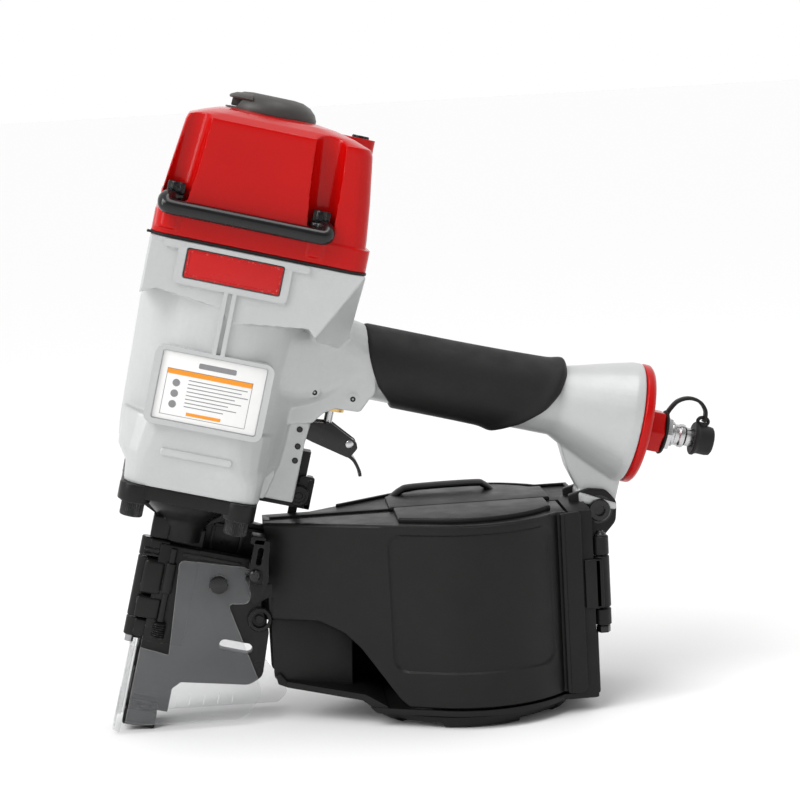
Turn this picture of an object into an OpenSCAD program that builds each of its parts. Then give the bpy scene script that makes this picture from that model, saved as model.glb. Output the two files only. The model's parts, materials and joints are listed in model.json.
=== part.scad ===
// Pneumatic coil nail gun, standing on its contact foot and canister base.
// The tool itself is drawn upright, with its driver along Z from the tip of the foot,
// X towards the handle and -Y the side with the labels, and is then leaned back.
// The canister magazine is drawn standing, in the frame of the floor.

/* [Stance] */
// Lean of the driver axis towards the handle, in degrees
lean = 15; // [14.8:0.1:15.2]
// Distance from the tip of the foot to the middle of the whole outline
centre_x = 159.8; // [150:0.1:170]

/* [Drive] */
// Radius of the cylinder bore
bore_r = 26; // [24:0.5:27]
// Radial running clearance of pistons, pins and stems
run_gap = 0.05; // [0.03:0.01:0.1]
// Radius of the driver blade
blade_r = 3.5; // [3:0.1:3.9]
// Radius of the air chamber around the cylinder sleeve
chamber_r = 43; // [42:0.5:43.5]

/* [Body] */
// Half width of the housing
body_hw = 51; // [50:0.5:52]
// Height of the joint between the housing and the cylinder cap
seam_z = 285; // [284:0.5:286]
// Height of the centre of the handle
handle_z = 233; // [232:0.5:234]
// Radius of the bare handle
handle_r = 20.4; // [20:0.1:21]
// Radius of the air duct through the handle
duct_r = 14.5; // [13:0.1:14.6]
// Thickness of the rubber grip
grip_t = 2.3; // [1.5:0.1:2.5]
// Radius of the disc at the rear of the handle
disc_r = 35; // [33:0.5:36]

/* [Magazine] */
// Radius of the nail canister
can_r = 62.5; // [61:0.5:63]
// Distance from the tip of the foot to the centre of the canister
can_x = 196; // [195:0.5:197]
// Wall thickness of the canister
can_t = 3; // [2.5:0.1:3.5]
// Height of the fixed rim of the canister
can_top = 121.5; // [120:0.5:122]
// Radius of the base disc
base_r = 58.5; // [50:0.5:60]

/* [Hidden] */

$fn = 64;
spring_sides = 6;
spring_steps = 10;
e = 1;

foot_rear = 5.5;
lift = foot_rear * sin(lean);
channel_r = 4.2;
floor_z = 147;
flange_z = 139;
nose_tip = 19.8;
cap_z = seam_z + 1.5;
cap_flange_t = 11.5;
cap_roof = 355;
cap_bolt_x = [-42, 39];
cap_bolt_y = 45;
cap_pillar = 306;
bolt_r = 3;
bolt_gap = 0.05;
nose_bolt_x = [-32, 27];
nose_bolt_y = 41;
nose_bolt_r = 4;
sleeve_top = 282;
sleeve_r = 31;
guide_r = 33 + run_gap;
deflector_x = 2;
deflector_z = 360.4;
guard_y = 56.5;
guard_z = 302;
guard_r = 4.5;
disc_x = 243;
disc_z = 229;
inlet_z = 227;
plug_r = 5.5;
thread_r = 6;
valve_x = 69;
valve_r = 8;
stem_r = 2.5;
trigger_x = 53.1;
trigger_z = 189.6;
lever_x = 83.4;
lever_z = 185.7;
pin_r = 1.9;
hinge_x = -19;
hinge_y = -8;
hinge_r = 2.5;
shield_t = 1.2;
feed_y = 29;
feed_z = 95;
latch_x = 44;
latch_z = 104;
pawl_x = 46;
pawl_y = -9;
mount_x = 233;
mount_z = 177;
mag_hinge_x = 267;
mag_hinge_y = -37;
mag_hinge_r = 2;
rear_x = 262;
rear_y = 42;
post_r = 7;
cover_split = 247.3;

// The leaned frame of the tool and the upright frame of the magazine
module tool() { translate([-centre_x, 0, lift]) rotate([0, lean, 0]) children(); }
module stand() { translate([-centre_x, 0, 0]) children(); }

// Rounded rectangle between two X and two Y limits
module rrect(x0, x1, y0, y1, r) {
    translate([x0 + r, y0]) square([x1 - x0 - 2 * r, y1 - y0]);
    translate([x0, y0 + r]) square([x1 - x0, y1 - y0 - 2 * r]);
    for (x = [x0 + r, x1 - r], y = [y0 + r, y1 - r]) translate([x, y]) circle(r);
}

// Rounded slab between two heights
module pad(x0, x1, y0, y1, r, z0, z1) {
    translate([0, 0, z0]) linear_extrude(z1 - z0) rrect(x0, x1, y0, y1, r);
}

// Box between two corners
module block(x0, x1, y0, y1, z0, z1) {
    translate([x0, y0, z0]) cube([x1 - x0, y1 - y0, z1 - z0]);
}

// Side outline in X and Z, extruded from y0 to y1
module slab(points, y0, y1) {
    translate([0, y1, 0]) rotate([90, 0, 0]) linear_extrude(y1 - y0) polygon(points);
}

module tube(r_out, r_in, z0, z1) {
    translate([0, 0, z0]) difference() {
        cylinder(r = r_out, h = z1 - z0);
        translate([0, 0, -e]) cylinder(r = r_in, h = z1 - z0 + 2 * e);
    }
}

// Round bars along each axis
module bar_x(x0, x1, y, z, r) { translate([x0, y, z]) rotate([0, 90, 0]) cylinder(r = r, h = x1 - x0); }
module bar_y(x, y0, y1, z, r) { translate([x, y1, z]) rotate([90, 0, 0]) cylinder(r = r, h = y1 - y0); }
module bar_z(x, y, z0, z1, r) { translate([x, y, z0]) cylinder(r = r, h = z1 - z0); }

// Hexagonal bar along X
module hex_x(x0, x1, z, r) {
    translate([x0, 0, z]) rotate([0, 90, 0]) cylinder(r = r, h = x1 - x0, $fn = 6);
}

// Wire coil standing on z = 0, as one closed tube swept along a helix
function coil_point(r, wire, h, turns, i, j, n) =
    let (a = 360 * turns * i / n, b = 360 * j / spring_sides, q = r + wire * cos(b))
    [q * cos(a), q * sin(a), wire + (h - 2 * wire) * i / n + wire * sin(b)];
module coil_spring(r, wire, h, turns) {
    n = spring_steps * turns;
    s = spring_sides;
    points = [for (i = [0:n], j = [0:s - 1]) coil_point(r, wire, h, turns, i, j, n)];
    sides = [for (i = [0:n - 1], j = [0:s - 1])
        [i * s + j, i * s + (j + 1) % s, (i + 1) * s + (j + 1) % s, (i + 1) * s + j]];
    ends = [[for (j = [0:s - 1]) s - 1 - j], [for (j = [0:s - 1]) n * s + j]];
    polyhedron(points, concat(sides, ends), convexity = 4);
}

// ---- Housing and handle ----

module housing() {
    upper = [[-48.5, 172], [-51.5, 250], [-51, seam_z], [69, seam_z], [70, 262], [62, 232], [56, 205], [45, 172]];
    web = [[37.5, 155], [38, floor_z], [56.6, floor_z], [57, 182], [60, 205], [66, 208], [84, 208],
        [92, 214], [92, 226], [40, 226]];
    lug = [[203, 214], [213, 194], [223.8, 182.5], [228, 168], [240, 168], [243, 180], [243, 198]];
    color("silver") tool() difference() {
        union() {
            pad(-45, 44, -47, 47, 24, 155, 176);
            pad(-40, 38, -48, 48, 12, floor_z, 158);
            intersection() {
                slab(upper, -body_hw, body_hw);
                pad(-52, 70, -body_hw, body_hw, 14, 170, seam_z);
            }
            hull() {
                block(58, 62, -26, 26, 214, 272);
                bar_x(76, 80, 0, handle_z, handle_r);
            }
            bar_x(60, 204, 0, handle_z, handle_r);
            hull() {
                bar_x(197, 199, 0, handle_z, handle_r);
                bar_x(disc_x - 5, disc_x, 0, disc_z, disc_r);
            }
            slab(web, -13, 13);
            slab(lug, -8, 8);
        }
        bar_z(0, 0, 155, seam_z + e, chamber_r);
        bar_z(0, 0, floor_z - e, 156, sleeve_r + run_gap);
        bar_x(30, disc_x - 5, 0, handle_z, duct_r);
        bar_x(disc_x - 7, disc_x + e, 0, 230, 18);
        bar_z(valve_x, 0, 200, 227, valve_r + run_gap);
        block(44, 94, -8.6, 8.6, 160, 202);
        for (x = cap_bolt_x, y = [-cap_bolt_y, cap_bolt_y]) bar_z(x, y, 256, seam_z + e, bolt_r + bolt_gap);
        for (x = nose_bolt_x, y = [-nose_bolt_y, nose_bolt_y]) {
            bar_z(x, y, floor_z - e, 166, nose_bolt_r + bolt_gap);
        }
        for (p = [[trigger_x, trigger_z], [53.9, 179.8], [54, 171.4]]) bar_y(p[0], -14, 14, p[1], pin_r + 0.02);
        for (x = [valve_x - 12.6, valve_x + 9.8]) bar_y(x, -30, 30, 213.4, 1.5);
        bar_y(mount_x, -9, 9, mount_z, 4.2);
    }
}

module name_plate() {
    color("firebrick") tool() slab([[-29, 265.5], [24, 265.5], [24, 281.4], [-29, 281.4]],
        -body_hw - 1.2, -body_hw);
}

module rating_label() {
    color("white") tool() slab([[-31, 186.5], [26, 186.5], [26, 224], [-31, 224]], -body_hw - 0.5, -body_hw);
}

module bracket_pins() {
    color("black") tool() for (p = [[trigger_x, trigger_z], [53.9, 179.8], [54, 171.4]]) {
        bar_y(p[0], -14, 14, p[1], pin_r);
    }
}

module roll_pins() {
    color("black") tool() for (x = [valve_x - 12.6, valve_x + 9.8]) bar_y(x, -14, 14, 213.4, 1.48);
}

module handle_grip() {
    color("dimgray") tool() difference() {
        bar_x(81, 196, 0, handle_z, handle_r + grip_t);
        bar_x(80, 197, 0, handle_z, handle_r);
        slab([[78, 258], [78, 205], [104, 205], [80, 258]], -30, 30);
    }
}

module end_cap() {
    color("red") tool() difference() {
        union() {
            bar_x(disc_x, disc_x + 6, 0, disc_z, disc_r);
            bar_x(disc_x - 6, disc_x, 0, 230, 17.95);
            hex_x(disc_x + 6, disc_x + 19, inlet_z, 13);
        }
        translate([disc_x - 3, 0, 230]) rotate([0, 90, 0]) translate([0, 0, -2]) tube(19, 15.9, 0, 2.6);
        bar_x(disc_x - 7, disc_x + 20, 0, inlet_z, thread_r + 0.02);
    }
}

module end_cap_seal() {
    color("black") tool() translate([disc_x - 5, 0, 230]) rotate([0, 90, 0]) tube(17.98, 15.95, 0.1, 2.5);
}

module air_plug() {
    color("lightgray") tool() difference() {
        union() {
            bar_x(disc_x + 7, disc_x + 19, 0, inlet_z, thread_r);
            hex_x(disc_x + 19, disc_x + 25, inlet_z, 9.5);
            bar_x(disc_x + 25, disc_x + 47, 0, inlet_z, plug_r);
            bar_x(disc_x + 25, disc_x + 29, 0, inlet_z, 6.5);
        }
        bar_x(disc_x + 6, disc_x + 48, 0, inlet_z, 3);
        translate([disc_x + 40, 0, inlet_z]) rotate([0, 90, 0]) tube(8, 4.4, 0, 3);
    }
}

module dust_cap() {
    color("black") tool() difference() {
        union() {
            bar_x(disc_x + 38, disc_x + 50, 0, inlet_z, 8.8);
            bar_x(disc_x + 38, disc_x + 40, 0, inlet_z, 9.6);
        }
        bar_x(disc_x + 37, disc_x + 47.5, 0, inlet_z, plug_r + run_gap);
    }
}

module dust_cap_strap() {
    color("black") tool() translate([disc_x + 36, 0, inlet_z + 10]) {
        rotate([90, 0, 0]) rotate_extrude(angle = 180) translate([8, -2.5]) square([2, 5]);
        block(-10, -8, -2.5, 2.5, -3, 0);
        translate([-9.9, 0, -10]) rotate([0, 90, 0]) tube(9, 6.55, 1.4, 3);
    }
}

// ---- Cylinder and cap ----

module cap_gasket() {
    color("black") tool() difference() {
        pad(-51, 69, -body_hw, body_hw, 14, seam_z, cap_z);
        bar_z(0, 0, seam_z - e, cap_z + e, chamber_r);
        for (x = cap_bolt_x, y = [-cap_bolt_y, cap_bolt_y]) {
            bar_z(x, y, seam_z - e, cap_z + e, bolt_r + bolt_gap);
        }
    }
}

module cylinder_cap() {
    side = [[-49, 290], [-45, 344], [-31, cap_roof], [30, cap_roof], [61, 349], [65.5, 290]];
    front = [[-50.5, 290], [-46.5, 346], [-38, 356], [38, 356], [46.5, 346], [50.5, 290]];
    flange_top = cap_z + cap_flange_t;
    color("red") tool() difference() {
        union() {
            pad(-51, 69, -body_hw, body_hw, 14, cap_z, flange_top);
            intersection() {
                slab(side, -60, 60);
                rotate([0, 0, 90]) slab(front, -80, 80);
                pad(-50, 67, -50.5, 50.5, 13, 290, 358);
            }
            bar_z(deflector_x, 0, 350, deflector_z - 0.4, 24);
            pad(36, 64, 9, 31, 6, 346, 358.5);
        }
        bar_z(0, 0, cap_z - e, 294, chamber_r);
        bar_z(0, 0, 293, 345, guide_r);
        tube(42, 36, 293, 332);
        bar_z(deflector_x, 0, 344, deflector_z, 3.05);
        for (x = [-15, 19]) bar_z(x, 0, 344, deflector_z, 5);
        bar_z(56, 20, 348, 360, bolt_r + bolt_gap);
        for (x = cap_bolt_x, y = [-cap_bolt_y, cap_bolt_y]) {
            bar_z(x, y, cap_z - e, cap_pillar + e, bolt_r + bolt_gap);
            bar_z(x, y, cap_pillar, 360, 8.5);
        }
    }
}

module cap_bolt(x, y, z, shank) {
    bar_z(x, y, z - shank, z, bolt_r);
    difference() {
        bar_z(x, y, z, z + 6.5, 5);
        translate([x, y, z + 3]) cylinder(r = 2.9, h = 4, $fn = 6);
    }
}

module cap_bolts() {
    color("black") tool() {
        for (x = cap_bolt_x, y = [-cap_bolt_y, cap_bolt_y]) cap_bolt(x, y, cap_pillar + 3, 50);
        cap_bolt(56, 20, 358.5, 9);
    }
}

module guard_bars() {
    color("black") tool() for (s = [-1, 1]) scale([1, s, 1]) difference() {
        union() {
            bar_x(cap_bolt_x[0] - 3, cap_bolt_x[1] + 3, guard_y, guard_z, guard_r);
            for (x = cap_bolt_x) {
                bar_z(x, cap_bolt_y, cap_pillar, cap_pillar + 3, 7.5);
                block(x - 4, x + 4, cap_bolt_y + 3, guard_y, cap_pillar, cap_pillar + 3);
                block(x - 4, x + 4, guard_y - 4, guard_y + 1, guard_z, cap_pillar + 3);
            }
        }
        for (x = cap_bolt_x) bar_z(x, cap_bolt_y, cap_pillar - e, cap_pillar + 4, bolt_r + bolt_gap);
    }
}

module cylinder_sleeve() {
    color("gainsboro") tool() difference() {
        union() {
            bar_z(0, 0, 149, sleeve_top, sleeve_r);
            bar_z(0, 0, 155, 160, 36);
            bar_z(0, 0, 214, 224, chamber_r - 0.02);
        }
        bar_z(0, 0, 148, sleeve_top + e, bore_r);
        tube(chamber_r + e, chamber_r - 2.5, 217, 220);
        tube(36, sleeve_r - 2, 150, 152.5);
        for (a = [0:45:315]) rotate([0, 0, a]) bar_x(20, 33, 0, 208, 2);
    }
}

module sleeve_seals() {
    color("black") tool() {
        tube(chamber_r - 0.02, chamber_r - 2.45, 217.1, 219.9);
        tube(sleeve_r + 0.02, sleeve_r - 1.95, 150.1, 152.4);
    }
}

module bumper() {
    color("dimgray") tool() difference() {
        union() {
            bar_z(0, 0, floor_z, 165, bore_r - 0.3);
            bar_z(0, 0, 165, 170, bore_r - 4);
        }
        bar_z(0, 0, floor_z - e, 171, 8.5);
    }
}

module piston() {
    color("gainsboro") tool() difference() {
        union() {
            bar_z(0, 0, 267, 277, bore_r - run_gap);
            bar_z(0, 0, 258, 267, 7);
        }
        tube(bore_r + e, bore_r - 3, 270, 274);
        bar_z(0, 0, 257, 273, blade_r);
    }
}

module driver_blade() { color("gray") tool() bar_z(0, 0, 112, 273, blade_r); }

module piston_ring() { color("black") tool() tube(bore_r - 0.03, bore_r - 2.95, 270.1, 273.9); }

module head_valve() {
    color("gainsboro") tool() difference() {
        union() {
            bar_z(0, 0, sleeve_top + 0.3, 288, 33);
            tube(33, 28, 287, 312);
        }
        tube(35, 30.5, 300, 304);
    }
}

module head_valve_seal() { color("black") tool() tube(33.02, 30.55, 300.1, 303.9); }

module piston_stop() { color("dimgray") tool() bar_z(0, 0, 278, sleeve_top + 0.3, 15); }

module head_valve_spring() {
    color("gray") tool() translate([0, 0, 288.3]) coil_spring(23, 1.5, 56.4, 6);
}

module exhaust_deflector() {
    color("dimgray") tool() translate([deflector_x, 0, deflector_z]) difference() {
        rotate_extrude() polygon([[3.2, 0], [26, 0], [26, 5], [23.5, 9], [14, 11], [3.2, 11]]);
        tube(23, 9, 1.5, 7.5);
        translate([-30, -19, 1.5]) cube([18, 38, 6]);
        translate([0, 0, 7]) cylinder(r = 6.2, h = 5);
    }
}

module deflector_bolt() {
    color("black") tool() {
        bar_z(deflector_x, 0, 348, deflector_z + 7.3, 3);
        bar_z(deflector_x, 0, deflector_z + 7.3, deflector_z + 10.5, 5.5);
    }
}

// ---- Trigger and its valve ----

module valve_housing() {
    color("goldenrod") tool() difference() {
        bar_z(valve_x, 0, 202.5, 226, valve_r);
        bar_z(valve_x, 0, 201, 227, stem_r + run_gap);
        bar_z(valve_x, 0, 212, 223, 5);
    }
}

module valve_stem() {
    color("goldenrod") tool() {
        bar_z(valve_x, 0, 195.2, 222, stem_r);
        bar_z(valve_x, 0, 212.3, 214, 4.7);
    }
}

module valve_spring() { color("gray") tool() translate([valve_x, 0, 214.2]) coil_spring(3.8, 0.5, 8.6, 5); }

module trigger() {
    cheek = [[49.5, 187], [49.5, 192.5], [58, 193.5], [71, 195.4], [88.2, 188], [88.6, 184], [84.4, 178], [64, 182.8]];
    finger = [[84, 178], [88.4, 184.5], [91, 181], [94.2, 169.5], [93.2, 167.4], [91, 168.4], [88.6, 176]];
    color("black") tool() difference() {
        union() {
            slab(cheek, -7.4, -5.4);
            slab(cheek, 5.4, 7.4);
            slab(finger, -7.4, 7.4);
        }
        bar_y(trigger_x, -8, 8, trigger_z, pin_r + run_gap);
        bar_y(lever_x, -8, 8, lever_z, 1.52);
    }
}

module lever_pin() { color("gray") tool() bar_y(lever_x, -7.4, 7.4, lever_z, 1.5); }

module contact_lever() {
    blade = [[86, 184], [86, 187.6], [80, 189.4], [69, 189.6], [57, 191.6], [56, 189.8], [66, 187.8], [80, 184.2]];
    color("gray") tool() difference() {
        slab(blade, -4.1, 4.1);
        bar_y(lever_x, -5, 5, lever_z, 1.5 + run_gap);
    }
}

// ---- Nose, feed and contact arm ----

module nose_body() {
    plate = [[12, 30], [67, 30], [43.5, 122], [12, 126]];
    color("dimgray") tool() difference() {
        union() {
            pad(-41, 36, -48, 48, 12, flange_z, floor_z);
            bar_z(-2, 0, 128, flange_z, 26);
            translate([-2, 0, 112]) cylinder(r1 = 16, r2 = 26, h = 16);
            block(-13, 13, -3, 16, 30, 113);
            block(-13, 13, -12, 16, nose_tip, 31);
            slab(plate, 5, 13);
            for (z = [53, 100.5]) {
                bar_z(hinge_x, hinge_y, z, z + 11, 5);
                block(-22, -14, -11, 3, z, z + 11);
                block(-22, -13, -2.7, 3, z, z + 11);
            }
            block(-12, -6, 15, 20.7, 60, 68);
            block(-5, 3.5, 15, 24.5, 107, 111);
        }
        bar_z(0, 0, nose_tip - e, floor_z + e, channel_r);
        bar_z(hinge_x, hinge_y, 52, 112, hinge_r + run_gap);
        for (x = nose_bolt_x, y = [-nose_bolt_y, nose_bolt_y]) {
            bar_z(x, y, flange_z - e, floor_z + e, nose_bolt_r + bolt_gap);
        }
        block(9, 34.1, 4, 14, 88.5, 101.5);
        block(-14, -9.5, -13, 17, 9, 56);
        block(-14, 14, 12.8, 17, 9, 59.5);
        block(-14, 14, -13, -8.8, 9, 31.5);
        block(3.6, 36, 13.9, 30, 111.5, 130);
        sight_slot();
    }
}

// Slot that shows the nails, right through the nose and its door
module sight_slot() {
    block(35, 49, -20, 20, 56, 60.6);
    for (x = [35, 49]) bar_y(x, -20, 20, 58.3, 2.3);
}

module nose_bolts() {
    color("black") tool() for (x = nose_bolt_x, y = [-nose_bolt_y, nose_bolt_y]) {
        bar_z(x, y, flange_z - 8.5, flange_z, 6.5);
        bar_z(x, y, flange_z, 163, nose_bolt_r);
    }
}

module door_hinge_pin() { color("gray") tool() bar_z(hinge_x, hinge_y, 49, 111.5, hinge_r); }

module nose_door() {
    plate = [[-12, 33], [66, 33], [45.5, 110], [-12, 110]];
    color("dimgray") tool() difference() {
        union() {
            slab(plate, -14, -5);
            block(-12, 12, -14, -3.3, 33, 110);
            bar_z(hinge_x, hinge_y, 64.4, 100.1, 5);
            block(-19, -11, -13, -8, 64.4, 100.1);
            bar_y(latch_x, -22.5, -14, latch_z, 5);
            bar_z(-3.4, -15.6, 55, 64, 3.8);
            bar_z(-3.4, -15.6, 64, 108, 1.9);
            bar_z(-3.4, -15.6, 82, 100, 3);
        }
        bar_z(0, 0, 32, 111, channel_r);
        bar_z(hinge_x, hinge_y, 60, 104, hinge_r + run_gap);
        block(22, 51, -12.2, -4, 64, 90);
        bar_z(pawl_x, pawl_y, 58, 94, 1.52);
        bar_y(latch_x, -23, -13, latch_z, 1.52);
        bar_y(25.2, -17, -10, 92.7, 2.02);
        block(-13, -8.5, -15, -3, 32, 51);
        sight_slot();
    }
}

module latch_pin() {
    color("gray") tool() {
        bar_y(latch_x, -28, -14, latch_z, 1.5);
        bar_y(latch_x, -30, -28, latch_z, 4);
    }
}

module door_latch() {
    lever = [[38, 127], [45, 127], [47.5, 112], [50, 104], [50, 92], [45, 88], [41, 92], [39.5, 104], [40.5, 116]];
    color("dimgray") tool() difference() {
        slab(lever, -27.7, -22.8);
        bar_y(latch_x, -29, -22, latch_z, 1.5 + run_gap);
        block(44, 47, -29, -22, 92, 98);
    }
}

module check_pawls() {
    color("gray") tool() for (z = [68, 78]) difference() {
        union() {
            bar_z(pawl_x, pawl_y, z, z + 7, 2.8);
            translate([pawl_x, pawl_y, z]) linear_extrude(7) polygon([[0, -2.6], [0, 2.6], [-16, 6.6], [-19, 6.2], [-18, 3]]);
        }
        bar_z(pawl_x, pawl_y, z - e, z + 8, 1.5 + run_gap);
    }
}

module pawl_pin() { color("gray") tool() bar_z(pawl_x, pawl_y, 60, 92, 1.5); }

module feed_cylinder() {
    color("dimgray") tool() difference() {
        union() {
            bar_x(34, 72, feed_y, feed_z, 11);
            block(34, 46, 13, feed_y, 88, 102);
        }
        bar_x(37, 73, feed_y, feed_z, 8);
        bar_x(33, 38, feed_y, feed_z, 3 + run_gap);
    }
}

module feed_cylinder_cap() {
    color("black") tool() {
        bar_x(67, 72, feed_y, feed_z, 7.95);
        bar_x(72, 75, feed_y, feed_z, 11);
    }
}

module feed_piston() {
    color("gray") tool() difference() {
        union() {
            bar_x(40, 45, feed_y, feed_z, 8 - run_gap);
            bar_x(20, 45, feed_y, feed_z, 3);
            block(16, 22, 15, feed_y + 4, 89.5, 100.5);
        }
        block(15, 23, 14, 25, 92, 98);
        bar_z(19, 20, 88, 102, 1.5);
    }
}

module feed_pawl() {
    color("gray") tool() {
        bar_z(19, 20, 89.6, 100.4, 1.45);
        translate([19, 20, 92.2]) linear_extrude(5.6) polygon([[-2.4, 3], [2.4, 3], [3, -10], [0, -18], [-5.2, -20], [-4.6, -12]]);
    }
}

module feed_spring() {
    color("gray") tool() translate([45.2, feed_y, feed_z]) rotate([0, 90, 0]) coil_spring(5.5, 0.8, 21.6, 6);
}

module arm_guide() {
    color("dimgray") tool() difference() {
        union() {
            block(64.3, 68, -9, 9, 143.8, 161);
            block(36.1, 68, -9, 9, 143.8, 146.9);
            bar_y(63.6, -10, -6.2, 152, 5.8);
            block(58, 68, -9, -6.2, 143.8, 158);
        }
        block(57.5, 64.3, -6.2, 18, 130, 170);
    }
}

module contact_foot() {
    color("dimgray") tool() difference() {
        union() {
            block(-13.5, foot_rear, -8.6, 16.8, 0, 9.3);
            block(-13.5, -9.8, -2.9, 12.6, 9, 45);
            block(-13.5, 12, 13, 16.8, 5, 48);
        }
        bar_z(0, 0, -e, 10, channel_r + 0.6);
    }
}

module contact_arm() {
    color("gray") tool() {
        block(-4, 12, 16.8, 19.6, 20, 86);
        block(-5, 4, 16.8, 24.5, 83, 86);
        block(4, 12, 16.8, 19.6, 80, 119);
        block(4, 12, 14.2, 19.6, 112, 119);
        block(4, 63, 14.2, 17, 112, 119);
        block(58, 63, 14.2, 17, 112, 148);
        block(58, 63, -5, 17, 143.5, 148);
        block(58, 63, -5, 5, 143.5, 176.5);
    }
}

module contact_spring() { color("gray") tool() translate([-0.8, 20.6, 86.2]) coil_spring(3.2, 0.6, 20.6, 6); }

module shield_side(points, y) {
    translate([0, y, 0]) rotate([90, 0, 0]) linear_extrude(shield_t) polygon(points);
}

module shield_near() {
    points = [[0.8, 102], [37.5, 105.5], [42.6, 92], [42, 85], [33, 84], [58, 43], [62, 36], [58, 18],
        [-11.8, -1.4], [-11.8, 48.5], [5.3, 46.4]];
    color("white", 0.4) tool() difference() {
        union() {
            shield_side(points, -15.5);
            bar_y(25.2, -15.6, -14, 92.7, 5);
        }
        bar_y(25.2, -18, -13, 92.7, 2.02);
    }
}

module shield_screw() {
    color("black") tool() {
        bar_y(25.2, -16.7, -11, 92.7, 2);
        bar_y(25.2, -19.2, -16.7, 92.7, 5);
    }
}

module shield_far() {
    points = [[-24, -4.6], [80, 21.6], [82, 29], [58, 50], [30, 66], [-6, 70], [-12, 70], [-12, 58], [-24, 46]];
    color("white", 0.4) tool() {
        shield_side(points, 22);
        block(-24, -22.8, -16.7, 22, -4, 46);
        block(-24, -14.2, -16.7, -15.5, -2, 48.5);
    }
}

// ---- Canister magazine ----

module mag_plan(inset) {
    near = [[76, -14], [170, -57], [can_x, 0], [160, 51], [104, 13], [76, 13]];
    inner = [[75, -9.8], [171.3, -53.8], [can_x, 0], [161.6, 48.2], [103, 9.4], [75, 9.4]];
    translate([can_x, 0]) circle(can_r - inset);
    polygon(inset > 0 ? inner : near);
    translate([can_x, -rear_y + inset]) square([rear_x - can_x - inset, 2 * (rear_y - inset)]);
}

module mag_shell(z0, z1) {
    difference() {
        translate([0, 0, z0]) linear_extrude(z1 - z0) mag_plan(0);
        translate([0, 0, z0 + can_t]) linear_extrude(z1 - z0 - 2 * can_t) mag_plan(can_t);
    }
}

module magazine_body() {
    side = [[76, 122], [76, 28], [126, 14], [134, 8], [264, 8], [264, 122]];
    color("dimgray") stand() difference() {
        union() {
            intersection() {
                mag_shell(8, can_top);
                slab(side, -70, 70);
            }
            bar_z(can_x, 0, 9, 72, post_r - run_gap);
            for (z = [49.7, 90.6]) {
                bar_z(mag_hinge_x, mag_hinge_y, z, z + (z < 60 ? 9.6 : 11), 4.5);
                block(rear_x - 1, mag_hinge_x, mag_hinge_y - 1, mag_hinge_y + 4.5, z, z + (z < 60 ? 9.6 : 11));
            }
            for (y = [-13, 8.4]) slab([[256, 96], [276, 98], [280, 106], [280, 121], [256, 121]], y, y + 4.6);
            block(64, 90, 13, 17, 36, 58);
        }
        block(60, 248.7, -70, -4, 11.1, 130);
        bar_z(mag_hinge_x, mag_hinge_y, 48, 104, mag_hinge_r + run_gap);
        mount_hole();
        block(80, 190, -3.9, 3.9, 112, 130);
    }
}

// Bolt hole of the ears, on the tool's leaned bolt axis
module mount_hole() {
    translate([0, 0, lift]) rotate([0, lean, 0]) bar_y(mount_x, -14, 14, mount_z, 4.2);
}

module magazine_cover() {
    side = [[76.5, 118], [76.5, 52], [126, 46], [146, 16.5], [150, 12], [cover_split, 12], [cover_split, 118]];
    color("dimgray") stand() difference() {
        union() {
            intersection() {
                difference() {
                    translate([0, 0, 4]) linear_extrude(112) mag_plan(0);
                    translate([0, 0, 3]) linear_extrude(110) mag_plan(can_t);
                }
                slab(side, -70, -4.6);
            }
            slab([[236, 60], [mag_hinge_x, 60], [mag_hinge_x, 90.2], [236, 90.2]], -45, -rear_y - 0.4);
            block(236, cover_split, -rear_y - 1, -40, 60, 90.2);
            block(262.6, mag_hinge_x, -45, mag_hinge_y, 60, 90.2);
            bar_z(mag_hinge_x, mag_hinge_y, 60, 90.2, 4.5);
        }
        bar_z(mag_hinge_x, mag_hinge_y, 59, 92, mag_hinge_r + run_gap);
    }
}

module magazine_base() {
    color("dimgray") stand() difference() {
        bar_z(can_x - 4, 0, 0, 8, base_r);
        bar_z(can_x - 4, 0, -e, 2, base_r - 8);
    }
}

module magazine_hinge_pin() {
    color("gray") stand() {
        bar_z(mag_hinge_x, mag_hinge_y, 44, 104, mag_hinge_r);
        bar_z(mag_hinge_x, mag_hinge_y, 44, 48, 3.4);
    }
}

module mount_bolt() {
    color("black") tool() {
        bar_y(mount_x, -13, 20, mount_z, 4);
        bar_y(mount_x, -18, -13, mount_z, 6.5);
    }
}

module mount_nut() {
    color("black") tool() difference() {
        translate([mount_x, 19, mount_z]) rotate([90, 0, 0]) cylinder(r = 7.5, h = 6, $fn = 6);
        bar_y(mount_x, 12, 20, mount_z, 4.03);
    }
}

module nail_tray() {
    color("gainsboro") stand() difference() {
        union() {
            bar_z(can_x, 0, 13, 16, 50);
            bar_z(can_x, 0, 16, 30, 10);
        }
        bar_z(can_x, 0, 12, 31, post_r);
    }
}

housing();
cap_gasket();
cylinder_cap();
cap_bolts();
guard_bars();
cylinder_sleeve();
sleeve_seals();
bumper();
handle_grip();
end_cap();
end_cap_seal();
air_plug();
name_plate();
rating_label();
bracket_pins();
roll_pins();
valve_housing();
nose_body();
nose_bolts();
arm_guide();
feed_cylinder();
feed_cylinder_cap();
shield_far();
magazine_body();
magazine_base();
magazine_hinge_pin();
mount_bolt();
mount_nut();
door_hinge_pin();
deflector_bolt();
piston();
driver_blade();
piston_ring();
head_valve();
head_valve_seal();
piston_stop();
head_valve_spring();
exhaust_deflector();
trigger();
lever_pin();
contact_lever();
valve_stem();
valve_spring();
contact_foot();
contact_arm();
contact_spring();
nose_door();
shield_near();
shield_screw();
door_latch();
latch_pin();
magazine_cover();
feed_piston();
feed_pawl();
feed_spring();
check_pawls();
pawl_pin();
nail_tray();
dust_cap();
dust_cap_strap();
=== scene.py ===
import json
import math

import bmesh
import bpy
from mathutils import Matrix, Vector


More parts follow.
